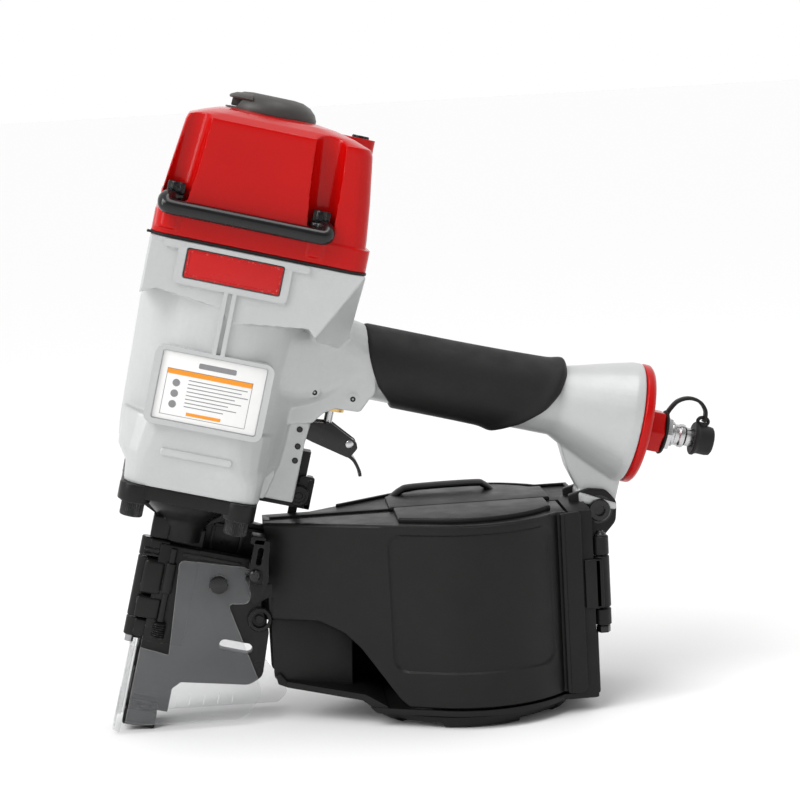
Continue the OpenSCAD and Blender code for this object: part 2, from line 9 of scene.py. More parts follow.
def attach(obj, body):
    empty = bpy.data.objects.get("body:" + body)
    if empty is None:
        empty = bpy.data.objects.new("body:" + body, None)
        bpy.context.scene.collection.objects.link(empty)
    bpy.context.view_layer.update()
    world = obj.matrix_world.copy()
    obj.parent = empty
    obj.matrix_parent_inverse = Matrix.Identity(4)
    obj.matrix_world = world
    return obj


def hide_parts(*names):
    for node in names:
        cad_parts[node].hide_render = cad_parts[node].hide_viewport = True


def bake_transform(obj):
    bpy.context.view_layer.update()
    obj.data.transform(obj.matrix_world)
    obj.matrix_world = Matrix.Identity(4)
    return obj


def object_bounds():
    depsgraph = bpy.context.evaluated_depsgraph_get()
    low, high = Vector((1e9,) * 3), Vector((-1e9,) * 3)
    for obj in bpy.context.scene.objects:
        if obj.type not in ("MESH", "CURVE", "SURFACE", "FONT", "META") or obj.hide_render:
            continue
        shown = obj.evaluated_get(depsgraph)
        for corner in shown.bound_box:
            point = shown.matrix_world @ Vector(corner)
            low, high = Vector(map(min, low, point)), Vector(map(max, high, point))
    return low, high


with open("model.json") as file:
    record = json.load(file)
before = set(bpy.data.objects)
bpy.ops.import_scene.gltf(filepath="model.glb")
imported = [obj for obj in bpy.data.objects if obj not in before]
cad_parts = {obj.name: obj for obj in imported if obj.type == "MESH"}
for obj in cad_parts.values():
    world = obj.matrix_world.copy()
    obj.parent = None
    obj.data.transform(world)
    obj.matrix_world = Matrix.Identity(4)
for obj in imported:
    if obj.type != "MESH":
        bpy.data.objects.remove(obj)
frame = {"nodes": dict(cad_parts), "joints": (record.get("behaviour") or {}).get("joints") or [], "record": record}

cad_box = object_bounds()
MM = 0.001
scene = bpy.context.scene
joints = {joint["name"]: joint for joint in frame["joints"]}


# ---- The two drawing frames, both in millimetres ----

def tool_frame():
    """Frame of the leaned tool: Z up the driver from the tip of the foot, X to the handle."""
    stroke = Vector(joints["piston_stroke"]["axis"])
    turn = Matrix.Rotation(math.atan2(-stroke.x, -stroke.z), 4, "Y")
    deflector_centre = turn @ Vector((2, 0, 362)) * MM
    origin = Vector(joints["deflector_turn"]["pos_m"]) - deflector_centre
    return Matrix.Translation(origin) @ turn @ Matrix.Scale(MM, 4)


def stand_frame():
    """Frame of the magazine: Z up from the floor, X from the tip of the foot."""
    hinge = Vector(joints["cover_swing"]["pos_m"])
    return Matrix.Translation((hinge.x - 267 * MM, 0, 0)) @ Matrix.Scale(MM, 4)


TOOL = tool_frame()
STAND = stand_frame()


# ---- Mesh helpers: everything is drawn in millimetres, then placed ----

UP, REAR, NEAR, FAR = (0, 0, 1), (1, 0, 0), (0, -1, 0), (0, 1, 0)


def add_object(name, data):
    obj = bpy.data.objects.new(name, data)
    scene.collection.objects.link(obj)
    return obj


def turns(steps):
    """Angles of so many even steps round a circle."""
    return [2 * math.pi * i / steps for i in range(steps)]


def direction(path, k):
    """Direction of a path at its point k."""
    return (path[min(k + 1, len(path) - 1)] - path[max(k - 1, 0)]).normalized()


def solid(verts, faces):
    mesh = bpy.data.meshes.new("part")
    mesh.from_pydata([tuple(v) for v in verts], [], faces)
    obj = add_object("part", mesh)
    tidy(obj)
    return obj


def tidy(obj, merge=0.0005):
    bm = bmesh.new()
    bm.from_mesh(obj.data)
    bmesh.ops.remove_doubles(bm, verts=bm.verts, dist=merge)
    bmesh.ops.recalc_face_normals(bm, faces=bm.faces)
    bm.to_mesh(obj.data)
    bm.free()


def loft(rings, closed=True):
    """Skin through rings of equally many points, with flat ends."""
    count = len(rings[0])
    verts = [p for ring in rings for p in ring]
    faces = []
    for k in range(len(rings) - 1):
        for i in range(count):
            j = (i + 1) % count
            a = k * count
            faces.append((a + i, a + j, a + count + j, a + count + i))
    if closed:
        faces += [tuple(range(count))[::-1], tuple(range(len(verts) - count, len(verts)))]
    return solid(verts, faces)


def lift(point, depth, axis):
    u, v = point
    return {"x": (depth, u, v), "y": (u, depth, v), "z": (u, v, depth)}[axis]


def prism(outline, lo, hi, axis="y"):
    """Outline in the two other axes, extruded from lo to hi along axis."""
    return loft([[lift(p, lo, axis) for p in outline], [lift(p, hi, axis) for p in outline]])


def block(x0, x1, y0, y1, z0, z1):
    return prism([(x0, z0), (x1, z0), (x1, z1), (x0, z1)], y0, y1)


def rounded(outline, radius, steps=5):
    """The outline with each corner turned into an arc; radius is one number or one for each."""
    points = [Vector(p) for p in outline]
    radii = radius if isinstance(radius, (list, tuple)) else [radius] * len(points)
    result = []
    for k, corner in enumerate(points):
        back = points[k - 1] - corner
        ahead = points[(k + 1) % len(points)] - corner
        half = back.angle(ahead) / 2
        reach = min(radii[k] / math.tan(half), 0.48 * back.length, 0.48 * ahead.length)
        if radii[k] == 0 or half > 1.54:
            result.append(tuple(corner))
            continue
        size = reach * math.tan(half)
        middle = corner + (back.normalized() + ahead.normalized()).normalized() * (size / math.sin(half))
        start = corner + back.normalized() * reach - middle
        end = corner + ahead.normalized() * reach - middle
        sweep = start.angle_signed(end)
        for i in range(steps + 1):
            angle = -sweep * i / steps
            c, s = math.cos(angle), math.sin(angle)
            result.append((middle.x + start.x * c - start.y * s, middle.y + start.x * s + start.y * c))
    return result


def rrect(x0, x1, y0, y1, radius, steps=5):
    return rounded([(x0, y0), (x1, y0), (x1, y1), (x0, y1)], radius, steps)


def circle(x, y, radius, steps=32):
    return [(x + radius * math.cos(t), y + radius * math.sin(t)) for t in turns(steps)]


def turned(profile, origin, axis, steps=48):
    """Profile of (radius, height) points turned about an axis through origin."""
    along = Vector(axis).normalized()
    side = along.orthogonal().normalized()
    across = along.cross(side)
    rings = []
    for r, h in profile:
        rings.append([Vector(origin) + along * h + (side * math.cos(t) + across * math.sin(t)) * r
            for t in turns(steps)])
    hollow = min(profile[0][0], profile[-1][0]) > 0
    if hollow:
        rings.append(rings[0])
    return loft(rings, closed=False)


def bar(start, end, radius, steps=32):
    span = Vector(end) - Vector(start)
    return turned([(0, 0), (radius, 0), (radius, span.length), (0, span.length)], start, span, steps)


def pin(start, end, radius, edge=0.4, steps=32):
    """Round bar with chamfered ends."""
    span = Vector(end) - Vector(start)
    length = span.length
    profile = [(0, 0), (radius - edge, 0), (radius, edge), (radius, length - edge), (radius - edge, length),
        (0, length)]
    return turned(profile, start, span, steps)


def smooth_path(points, steps=8):
    """Catmull-Rom curve through the points."""
    p = [Vector(q) for q in points]
    p = [2 * p[0] - p[1]] + p + [2 * p[-1] - p[-2]]
    curve = []
    for k in range(1, len(p) - 2):
        a, b, c, d = p[k - 1], p[k], p[k + 1], p[k + 2]
        for i in range(steps):
            t = i / steps
            curve.append(0.5 * ((2 * b) + (c - a) * t + (2 * a - 5 * b + 4 * c - d) * t * t
                + (3 * b - a - 3 * c + d) * t ** 3))
    curve.append(p[-2])
    return curve


def rod(points, radius, sides=20, steps=8, squash=1.0):
    """Round bar swept along a smooth path."""
    path = smooth_path(points, steps) if steps > 1 else [Vector(q) for q in points]
    side = (path[1] - path[0]).orthogonal().normalized()
    rings = []
    for k, here in enumerate(path):
        ahead = direction(path, k)
        side = (side - ahead * side.dot(ahead)).normalized()
        across = ahead.cross(side)
        rings.append([here + (side * math.cos(t) * squash + across * math.sin(t)) * radius
            for t in turns(sides)])
    return loft(rings)


def flat_bar(points, steps, half_width, half_depth, radius):
    """Flat bar swept along a smooth path in the middle plane."""
    outline = rrect(-half_width, half_width, -half_depth, half_depth, radius, 3)
    path = smooth_path(points, steps)
    wide = Vector(FAR)
    rings = []
    for k, here in enumerate(path):
        out = wide.cross(direction(path, k)).normalized()
        rings.append([here + wide * u + out * v for u, v in outline])
    return loft(rings)


def apply(obj):
    """Makes the modifiers part of the mesh."""
    bpy.context.view_layer.update()
    graph = bpy.context.evaluated_depsgraph_get()
    mesh = bpy.data.meshes.new_from_object(obj.evaluated_get(graph))
    obj.modifiers.clear()
    obj.data = mesh
    return obj


def join(*parts):
    bm = bmesh.new()
    for part in parts:
        bm.from_mesh(part.data)
    obj = parts[0]
    bm.to_mesh(obj.data)
    bm.free()
    for part in parts[1:]:
        bpy.data.objects.remove(part)
    return obj


def combine(obj, tools, how="DIFFERENCE"):
    for tool in tools:
        mod = obj.modifiers.new("combine", "BOOLEAN")
        mod.operation = how
        mod.solver = "MANIFOLD"
        mod.object = tool
    apply(obj)
    for tool in tools:
        bpy.data.objects.remove(tool)
    tidy(obj)
    return obj


def cut(obj, *tools):
    return combine(obj, tools)


def fuse(obj, *tools):
    return combine(obj, tools, "UNION")


def bevel(obj, width, segments=2, angle=32):
    mod = obj.modifiers.new("bevel", "BEVEL")
    mod.width = width
    mod.segments = segments
    mod.limit_method = "ANGLE"
    mod.angle_limit = math.radians(angle)
    mod.use_clamp_overlap = True
    mod.miter_outer = "MITER_ARC"
    return apply(obj)


def brick(x0, x1, y0, y1, z0, z1, edge, segments=2):
    """Block with bevelled edges."""
    return bevel(block(x0, x1, y0, y1, z0, z1), edge, segments)


def panel(outline, radius, lo, hi, edge, segments=2):
    """Flat plate across the tool, with rounded corners and bevelled edges."""
    return bevel(prism(rounded(outline, radius), lo, hi), edge, segments)


def cast(parts, voxel=0.9, smooth=3):
    """Melts closed parts into one skin with soft inside corners, as a casting has."""
    obj = join(*parts)
    mod = obj.modifiers.new("melt", "REMESH")
    mod.mode = "VOXEL"
    mod.voxel_size = voxel
    mod.adaptivity = 0.0
    apply(obj)
    mod = obj.modifiers.new("ease", "SMOOTH")
    mod.factor = 0.5
    mod.iterations = smooth
    return apply(obj)


def mirrored(obj):
    """A copy of the part on the other side of the tool's middle plane."""
    copy = add_object("part", obj.data.copy())
    copy.data.transform(Matrix.Scale(-1, 4, FAR))
    tidy(copy)
    return copy


def place(obj, name, slot, *replaced, body="root", grid=TOOL, sharp=35, look=None):
    obj.data.transform(grid)
    obj.data.shade_smooth()
    obj.data.set_sharp_from_angle(angle=math.radians(sharp))
    obj.name = name
    obj.data.name = name
    obj.data.materials.clear()
    obj.data.materials.append(MATERIALS[look or slot])
    if body is not None:
        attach(obj, body)
    if replaced:
        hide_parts(*replaced)


# ---- Materials ----

def feed(tree, value, socket):
    """Gives a socket a value, or the output of another node."""
    if isinstance(value, bpy.types.NodeSocket):
        tree.links.new(value, socket)
    else:
        socket.default_value = value


def add_node(tree, kind, **inputs):
    node = tree.nodes.new("ShaderNode" + kind)
    for name, value in inputs.items():
        feed(tree, value, node.inputs[name.replace("_", " ")])
    return node


class Nodes:
    """Small helper for building one node material."""

    def __init__(self, name):
        self.material = bpy.data.materials.new(name)
        self.material.use_nodes = True
        self.tree = self.material.node_tree
        self.shader = self.tree.nodes["Principled BSDF"]
        self.coords = add_node(self.tree, "TexCoord").outputs["Object"]

    def link(self, source, target):
        self.tree.links.new(source, target)

    def noise(self, scale, detail=4, rough=0.55, stretch=None):
        at = self.coords
        if stretch is not None:
            at = add_node(self.tree, "Mapping", Scale=stretch, Vector=at).outputs["Vector"]
        node = add_node(self.tree, "TexNoise", Scale=scale, Detail=detail, Roughness=rough, Vector=at)
        return node.outputs["Fac"]

    def ramp(self, source, low, high, to_low=0.0, to_high=1.0):
        node = add_node(self.tree, "MapRange", Value=source, From_Min=low, From_Max=high, To_Min=to_low,
            To_Max=to_high)
        return node.outputs["Result"]

    def math(self, how, a, b):
        node = add_node(self.tree, "Math")
        node.operation = how
        feed(self.tree, a, node.inputs[0])
        feed(self.tree, b, node.inputs[1])
        return node.outputs[0]

    def mix(self, factor, a, b):
        """Blend of two colours, each a tuple or another node's output."""
        node = add_node(self.tree, "Mix")
        node.data_type = "RGBA"
        for name, value in (("Factor", factor), ("A", a), ("B", b)):
            feed(self.tree, (*value, 1) if isinstance(value, tuple) else value, node.inputs[name])
        return node.outputs["Result"]

    def edges(self, radius):
        """1 on sharp outer edges and 0 on flat faces."""
        soft = add_node(self.tree, "Bevel", Radius=radius)
        soft.samples = 4
        dot = add_node(self.tree, "VectorMath")
        dot.operation = "DOT_PRODUCT"
        self.link(soft.outputs["Normal"], dot.inputs[0])
        self.link(add_node(self.tree, "NewGeometry").outputs["Normal"], dot.inputs[1])
        return self.ramp(dot.outputs["Value"], 0.995, 0.82)

    def bump(self, height, distance, onto=None):
        node = add_node(self.tree, "Bump", Height=height, Distance=distance, Strength=1.0)
        if onto is not None:
            self.link(onto, node.inputs["Normal"])
        return node.outputs["Normal"]

    def set(self, **values):
        for name, value in values.items():
            self.shader.inputs[name.replace("_", " ")].default_value = value


MATERIALS = {}


def scaled(colour, factor):
    return tuple(min(1.0, channel * factor) for channel in colour)


def finish(name, colour, rough, metal=0.0, spread=0.12, rough_spread=0.08, peel=0.0, peel_scale=900,
    grain=0.0, grain_scale=2500, wear=None, wear_amount=0.5, brushed=None, **shader):
    """Paint, plastic, rubber or metal: patchy colour, uneven gloss, fine relief and worn edges."""
    m = Nodes(name)
    broad = m.ramp(m.noise(28), 0.3, 0.7)
    base = m.mix(broad, scaled(colour, 1 - spread), scaled(colour, 1 + spread))
    fine = m.ramp(m.noise(420, 6), 0.35, 0.68)
    base = m.mix(m.math("MULTIPLY", fine, 0.35), base, scaled(colour, 1 - 1.6 * spread))
    smear = m.ramp(m.noise(75, 5, stretch=brushed), 0.3, 0.7, rough - rough_spread, rough + rough_spread)
    if wear is not None:
        chips = m.ramp(m.noise(650, 5), 0.62 - 0.2 * wear_amount, 0.70 - 0.2 * wear_amount)
        mask = m.math("MULTIPLY", m.edges(0.45 * MM), chips)
        base = m.mix(mask, base, wear)
    m.link(base, m.shader.inputs["Base Color"])
    m.link(smear, m.shader.inputs["Roughness"])
    normal = None
    if peel:
        normal = m.bump(m.noise(peel_scale, 2, 0.4), peel * MM)
    if grain:
        normal = m.bump(m.noise(grain_scale, 3, 0.6, stretch=brushed), grain * MM, onto=normal)
    if normal is not None:
        m.link(normal, m.shader.inputs["Normal"])
    m.set(Metallic=metal, **shader)
    MATERIALS[name] = m.material


def clear_sheet():
    """Thin smoky sheet: a faint veil on its faces, with a painted highlight of near-white colour and more opacity
    on its cut rims.
    """
    m = Nodes("clear_plastic")
    haze = m.ramp(m.noise(12, 3), 0.3, 0.75, 0.05, 0.12)
    scratch = m.ramp(m.noise(40, 4, stretch=(1, 1, 0.12)), 0.45, 0.75, 0.0, 0.05)
    m.link(m.math("ADD", haze, scratch), m.shader.inputs["Roughness"])
    # Painted highlight: the rim mask mixes near-white into the colour and raises the alpha on the bevelled edges,
    # standing in for the light the cut edges catch
    rim = m.edges(0.4 * MM)
    veil = m.mix(m.ramp(m.noise(35), 0.3, 0.7), (0.30, 0.31, 0.32), (0.38, 0.39, 0.40))
    m.link(m.mix(rim, veil, (0.85, 0.86, 0.87)), m.shader.inputs["Base Color"])
    m.link(m.math("ADD", m.math("MULTIPLY", rim, 0.5), 0.15), m.shader.inputs["Alpha"])
    m.link(m.bump(m.noise(12, 1), 0.01 * MM), m.shader.inputs["Normal"])
    m.set(IOR=1.45, Specular_IOR_Level=0.5)
    MATERIALS["clear_plastic"] = m.material


WORN_STEEL = (0.16, 0.16, 0.16)
finish("painted_aluminium", (0.50, 0.51, 0.51), 0.36, 0.15, 0.045, 0.06, peel=0.05, grain=0.012,
    wear=(0.7, 0.7, 0.7), wear_amount=0.1, Coat_Weight=0.12, Coat_Roughness=0.25)
finish("red_paint", (0.47, 0.0025, 0.002), 0.2, 0.0, 0.05, 0.06, peel=0.03, wear=(0.62, 0.08, 0.07),
    wear_amount=0.15, Specular_IOR_Level=0.16, Coat_Weight=0.12, Coat_Roughness=0.07)
finish("charcoal_plastic", (0.008, 0.0078, 0.0077), 0.42, 0.0, 0.12, 0.06, peel=0.02, grain=0.035,
    grain_scale=1800, wear=(0.035, 0.035, 0.035), wear_amount=0.3, Specular_IOR_Level=0.22)
finish("dark_plastic", (0.040, 0.037, 0.034), 0.46, 0.0, 0.15, 0.08, grain=0.04, grain_scale=1500,
    wear=(0.16, 0.15, 0.15), wear_amount=0.5, Specular_IOR_Level=0.4)
finish("black_steel", (0.005, 0.005, 0.006), 0.26, 0.0, 0.2, 0.1, peel=0.03, wear=(0.08, 0.08, 0.08),
    wear_amount=0.4, Specular_IOR_Level=0.25, Coat_Weight=0.35, Coat_Roughness=0.1)
finish("nose_steel", (0.009, 0.0087, 0.0085), 0.36, 0.0, 0.25, 0.12, peel=0.012, grain=0.012,
    grain_scale=1200, wear=WORN_STEEL, wear_amount=0.3, Specular_IOR_Level=0.22)
finish("bright_steel", (0.56, 0.56, 0.57), 0.24, 1.0, 0.08, 0.1, grain=0.01, brushed=(1, 12, 12))
finish("spring_steel", (0.36, 0.36, 0.37), 0.3, 1.0, 0.12, 0.1, grain=0.012)
finish("light_alloy", (0.66, 0.66, 0.67), 0.32, 1.0, 0.06, 0.08, grain=0.012, brushed=(1, 1, 14))
finish("brass", (0.72, 0.48, 0.18), 0.28, 1.0, 0.1, 0.1, grain=0.01)
finish("black_rubber", (0.009, 0.0088, 0.0087), 0.6, 0.0, 0.2, 0.08, grain=0.09, grain_scale=1100,
    Specular_IOR_Level=0.3)
clear_sheet()
finish("label_red", (0.50, 0.006, 0.006), 0.25, 0.0, 0.04, 0.05, peel=0.01, wear=(0.8, 0.3, 0.3),
    wear_amount=0.2, Specular_IOR_Level=0.3)
finish("label_white", (0.84, 0.84, 0.83), 0.35, 0.0, 0.02, 0.05, peel=0.01)
finish("orange_ink", (0.85, 0.30, 0.01), 0.4, 0.0, 0.05, 0.05, peel=0.01)
finish("grey_ink", (0.25, 0.25, 0.26), 0.45, 0.0, 0.1, 0.05, peel=0.01)


def dress_cad_nodes():
    """Gives each carried-over CAD node its procedural material."""
    for part in frame["record"]["subparts"]:
        obj = frame["nodes"][part["node"]]
        material = MATERIALS[part["material_slot"]]
        for held in obj.material_slots:
            held.material = material
        if not obj.material_slots:
            obj.data.materials.append(material)


# ---- Stage, lights and camera ----

def stage():
    size = 30.0
    floor = solid([(-size, -size, 0), (size, -size, 0), (size, size, 0), (-size, size, 0)], [(0, 1, 2, 3)])
    floor.name = "floor"
    m = Nodes("floor")
    m.link(m.ramp(m.noise(6, 3), 0.3, 0.7, 0.55, 0.7), m.shader.inputs["Roughness"])
    m.set(Base_Color=(0.93, 0.93, 0.93, 1), Specular_IOR_Level=0.0)
    floor.data.materials.append(m.material)


def area_light(name, place_at, look_at, size, power):
    lamp = bpy.data.lights.new(name, "AREA")
    lamp.shape = "RECTANGLE"
    lamp.size, lamp.size_y = size
    lamp.energy = power
    obj = add_object(name, lamp)
    obj.location = place_at
    obj.rotation_euler = (Vector(look_at) - Vector(place_at)).to_track_quat("-Z", "Y").to_euler()


def sky():
    """White all round the horizon and dimmer high up in front, as a room with a lit backdrop is."""
    world = bpy.data.worlds.new("world")
    scene.world = world
    world.use_nodes = True
    tree = world.node_tree
    spot = add_node(tree, "TexCoord").outputs["Generated"]
    split = add_node(tree, "SeparateXYZ", Vector=spot)
    front = add_node(tree, "MapRange", Value=split.outputs["Y"], From_Min=0.3, From_Max=-0.7, To_Min=0.0,
        To_Max=0.72)
    high = add_node(tree, "MapRange", Value=split.outputs["Z"], From_Min=0.12, From_Max=0.4, To_Min=0.0,
        To_Max=1.0)
    dim, strength = add_node(tree, "Math"), add_node(tree, "Math")
    dim.operation, strength.operation = "MULTIPLY", "SUBTRACT"
    background = tree.nodes["Background"]
    for value, socket in ((front.outputs["Result"], dim.inputs[0]), (high.outputs["Result"], dim.inputs[1]),
        (1.0, strength.inputs[0]), (dim.outputs[0], strength.inputs[1]),
        (strength.outputs[0], background.inputs["Strength"])):
        feed(tree, value, socket)
    background.inputs["Color"].default_value = (1, 1, 1, 1)


def lights():
    sky()
    sun = bpy.data.lights.new("sun", "SUN")
    sun.energy = 1.25
    sun.angle = math.radians(35)
    obj = add_object("sun", sun)
    obj.rotation_euler = Vector((0.55, 0.5, -0.85)).to_track_quat("-Z", "Y").to_euler()
    middle = (cad_box[0] + cad_box[1]) / 2
    area_light("strip", (-0.75, -0.35, 0.75), middle, (0.25, 0.9), 3.0)
    area_light("top", (0.2, -0.1, 1.2), middle, (0.8, 0.3), 2.5)
    scene.view_settings.view_transform = "Standard"
    scene.view_settings.exposure = 0.0


def camera():
    """Three-quarter left view from a little above, with the small roll of a hand-held picture."""
    yaw, rise, roll = math.radians(4.59), math.radians(8.26), math.radians(3.15)
    distance = 1.295
    lens_ratio = 2.795
    target = (cad_box[0] + cad_box[1]) / 2
    back = Vector((-math.sin(yaw) * math.cos(rise), -math.cos(yaw) * math.cos(rise), math.sin(rise)))
    right = Vector((math.cos(yaw), -math.sin(yaw), 0))
    up = back.cross(right)
    side = right * math.cos(roll) - up * math.sin(roll)
    top = right * math.sin(roll) + up * math.cos(roll)
    lens = bpy.data.cameras.new("camera")
    lens.sensor_width = 36
    lens.lens = lens_ratio * lens.sensor_width
    lens.clip_start = 0.05
    obj = add_object("camera", lens)
    spot = target + back * distance
    obj.matrix_world = Matrix(((side.x, top.x, back.x, spot.x), (side.y, top.y, back.y, spot.y),
        (side.z, top.z, back.z, spot.z), (0, 0, 0, 1)))
    scene.camera = obj


# ---- Body of the tool ----

CAP_SCREW_X = (-42, 39)
NOSE_SCREW_X = (-32, 27)
GATE_PIN_XY = (-19, -8)
PLUG_Z = 227


def ring(z, x0, x1, half_width, radius):
    """Rounded plan outline at one height."""
    return [(x, y, z) for x, y in rrect(x0, x1, -half_width, half_width, radius, 6)]


def tube_along_x(x0, x1, z, radius):
    return bar((x0, 0, z), (x1, 0, z), radius, 48)


def side_ribs():
    """Raised T, plate frame, label frame and bar that stand on the near wall."""
    wall, proud = -44, -52.6
    outlines = [rrect(-43, 38.5, 280.4, 284.4, 1.9), rrect(-34.5, 29, 261.5, 283.6, 3),
        rrect(-36, 30.5, 183, 226.8, 5), rrect(-5.6, -3.2, 225, 263, 0.8), rrect(-0.8, 1.6, 225, 263, 0.8)]
    bars = [prism(outline, wall, proud) for outline in outlines]
    relief = fuse(bars[0], *bars[1:])
    plate_seat = prism(rrect(-30, 24.8, 264.8, 282, 1.5), -51.3, proud - 1)
    label_seat = prism(rrect(-32, 27, 185.9, 224.6, 1.5), -51.0, proud - 1)
    relief = bevel(cut(relief, plate_seat, label_seat), 0.6, 3)
    low_bar = bevel(prism(rrect(-23, 17.5, 166, 170.2, 1.9), wall, -50.8), 0.6, 3)
    return [relief, low_bar]


def neck_parts():
    """Wedge from the body to the handle, the web under it and the pin strip."""
    sections = ((26, rrect(-40, 40, 203, 250, 14, 6)), (46, rrect(-29, 29, 201, 254, 15, 6)),
        (62, rrect(-23, 23, 203, 256.5, 15, 6)), (74, rrect(-21, 21, 208, 255.6, 18, 6)),
        (86, rrect(-20.4, 20.4, 212.6, 253.4, 20, 6)))
    wedge = loft([[(x, y, z) for y, z in outline] for x, outline in sections])
    cheek = rounded([(46, 256), (64, 253), (76, 243), (88, 228), (91.5, 220), (88.5, 215.5), (84.6, 206.6),
        (70, 205.8), (64, 202), (59, 195.2), (46, 192)], [0, 3, 5, 3, 4, 3, 2.5, 3, 4, 1.5, 0])
    strip = rounded([(40, 194.6), (58.8, 195), (57.6, 182), (57.8, 147), (34, 147), (37, 160), (40, 182)],
        [0, 1.5, 1, 1, 0, 0, 0])
    web = [(36, 155), (36, 147), (56.2, 147), (56.8, 182), (58.5, 195), (40, 226)]
    parts = [wedge, prism(cheek, -20.2, 20.2), prism(web, -12.6, 12.6), prism(strip, -14.2, 14.2),
        prism([(28, 147), (40.5, 147), (43.5, 160), (46, 192), (28, 192)], -19, 19)]
    for x, half in ((56.4, 24.6), (78.8, 20.9)):
        parts.append(bar((x, -half, 213.4), (x, half, 213.4), 3.1))
    return parts


def handle_parts():
    rings = []
    for x, z, r in ((196, 233, 20.4), (206, 231.6, 24.2), (218, 230.6, 28.4), (231, 229.6, 32.6),
        (238, 229, 34.8), (243, 229, 35)):
        rings.append([(x, y, z + dz) for y, dz in circle(0, 0, r, 56)])
    lug = rounded([(200, 216), (211, 196), (222.5, 182.5), (227, 167.6), (240.6, 167.6), (243, 180),
        (243, 200)], [0, 14, 4, 3, 5, 4, 0])
    foot = rounded([(221, 178.6), (243, 178.6), (243, 182.6), (219, 184.8)], 1)
    return [tube_along_x(60, 200, 233, 20.4), loft(rings), prism(lug, -8, 8), prism(foot, -15, 15)]


def facet(side):
    """Space off the rear corner of the shoulder, which slants back to the handle."""
    high, low = Vector((67, side * 51, 281)), Vector((47, side * 51, 243))
    back = Vector((71, side * 21, 250))
    out = (low - high).cross(back - high).normalized()
    out = out if out.y * side > 0 else -out
    along = (low - high).normalized()
    turn = Matrix((along, out.cross(along), out)).transposed().to_4x4()
    slab = block(-90, 90, -90, 90, 0, 60)
    slab.data.transform(Matrix.Translation(high) @ turn)
    return slab


def housing():
    side = [(-52, 251.5), (-43, 256.5), (-6, 252.3), (1, 245.2), (44, 250.4), (50.5, 243.5), (70.5, 240),
        (70.5, 285), (-52, 285)]
    shoulder = combine(prism(side, -51, 51), [prism(rrect(-51, 69.5, -60, 60, 10, 6), 230, 290, "z")],
        "INTERSECT")
    cut(shoulder, facet(-1), facet(1))
    barrel = loft([[(x, y, z) for x, y in circle(0, 0, r, 72)] for z, r in ((160, 44), (166, 47.6),
        (178, 48.7), (212, 49.4), (246, 50.3), (262, 50.6))])
    skirt = loft([ring(147, -39.6, 37, 48, 11), ring(157.5, -40.6, 37.5, 48.4, 12),
        ring(165, -46.6, 39, 49.4, 22), ring(186, -48, 41, 49.8, 30)])
    parts = [shoulder, barrel, skirt] + neck_parts() + handle_parts()
    far_bar = prism(rrect(-43, 38.5, 280.4, 284.4, 1.9), 50.2, 52)
    far_pad = prism(rrect(-36, 30.5, 183, 226.8, 5), 44, 51.4)
    obj = cast(parts + [far_bar, far_pad], 0.85, 4)
    cut(obj, bar((0, 0, 170), (0, 0, 290), 43, 64))
    cut(obj, bar((0, 0, 140), (0, 0, 171), 36, 64))
    cut(obj, tube_along_x(30, 240, 233, 14.5))
    cut(obj, tube_along_x(236, 244, 230, 18))
    cut(obj, block(44, 94, -8.6, 8.6, 160, 202))
    cut(obj, bar((69, 0, 198), (69, 0, 227), 8.05))
    cut(obj, block(-60, 80, -60, 60, 285, 300))
    cut(obj, block(-60, 80, -60, 60, 130, 147))
    obj = join(obj, *side_ribs())
    place(obj, "housing_casting", "painted_aluminium", "housing")


def gasket():
    outline = rrect(-51.4, 69.9, -51.4, 51.4, 10.4, 6)
    tab = rrect(-53.4, -50, -44, -36, 1)
    obj = cut(prism(outline, 285, 286.5, "z"), bar((0, 0, 280), (0, 0, 290), 43))
    obj = bevel(join(obj, prism(tab, 285.2, 286.3, "z")), 0.3)
    place(obj, "cap_seal", "black_rubber", "cap_gasket")


def cylinder_cap():
    body = loft([ring(294, -50.8, 67.2, 50.8, 10), ring(304, -50.2, 66.6, 50.4, 10),
        ring(324, -47.8, 64.4, 49.6, 10), ring(350, -44.4, 60.6, 48.4, 10),
        ring(353.4, -43.2, 59.0, 48.0, 10), ring(356.8, -35, 50, 41, 12), ring(359.6, -27, 39, 32, 14),
        ring(361, -20, 28, 22, 14)])
    channels = []
    for side in (-1, 1):
        channels += [bar((-42.4, side * 45.2, 303), (-37, side * 51, 368), 8.2),
            bar((39.4, side * 45.2, 303), (35.4, side * 51, 368), 8.4)]
    flange = prism(rrect(-51.2, 69.4, -51, 51, 10, 6), 286.5, 299, "z")
    lug = prism(rrect(36, 64.4, 9, 31, 6), 330, 358.4, "z")
    lug_skirt = loft([[(x, y, 326) for x, y in rrect(34, 66, 7, 33, 7)],
        [(x, y, 350) for x, y in rrect(36, 62, 9, 31, 6)]])
    body = cut(body, *channels)
    pillars = [bar((x, side * 45, 290), (x, side * 45, 306), 8) for x in CAP_SCREW_X for side in (-1, 1)]
    boss = bar((2, 0, 345), (2, 0, 360.2), 24)
    obj = cast([body, flange, lug, lug_skirt, boss] + pillars, 0.7, 2)
    cut(obj, bar((0, 0, 280), (0, 0, 294), 43, 64))
    cut(obj, bar((0, 0, 290), (0, 0, 345), 33.05, 64))
    cut(obj, block(-60, 80, -60, 60, 280, 286.5))
    place(obj, "cap_casting", "red_paint", "cylinder_cap")


def knurled_head(x, y, z, radius, height, teeth=30):
    """Cap-screw head with a knurled rim and a hexagon socket."""
    rim = []
    for k in range(teeth * 4):
        t = 2 * math.pi * k / (teeth * 4)
        r = radius - (0.35 if k % 4 < 2 else 0)
        rim.append((x + r * math.cos(t), y + r * math.sin(t)))
    neck = [(x + (px - x) * 0.93, y + (py - y) * 0.93) for px, py in rim]
    head = loft([[(px, py, z) for px, py in neck], [(px, py, z + 0.5) for px, py in rim],
        [(px, py, z + height - 0.8) for px, py in rim], [(px, py, z + height) for px, py in neck]])
    socket = prism(circle(x, y, radius * 0.55, 6), z + height * 0.45, z + height + 1, "z")
    return cut(head, socket)


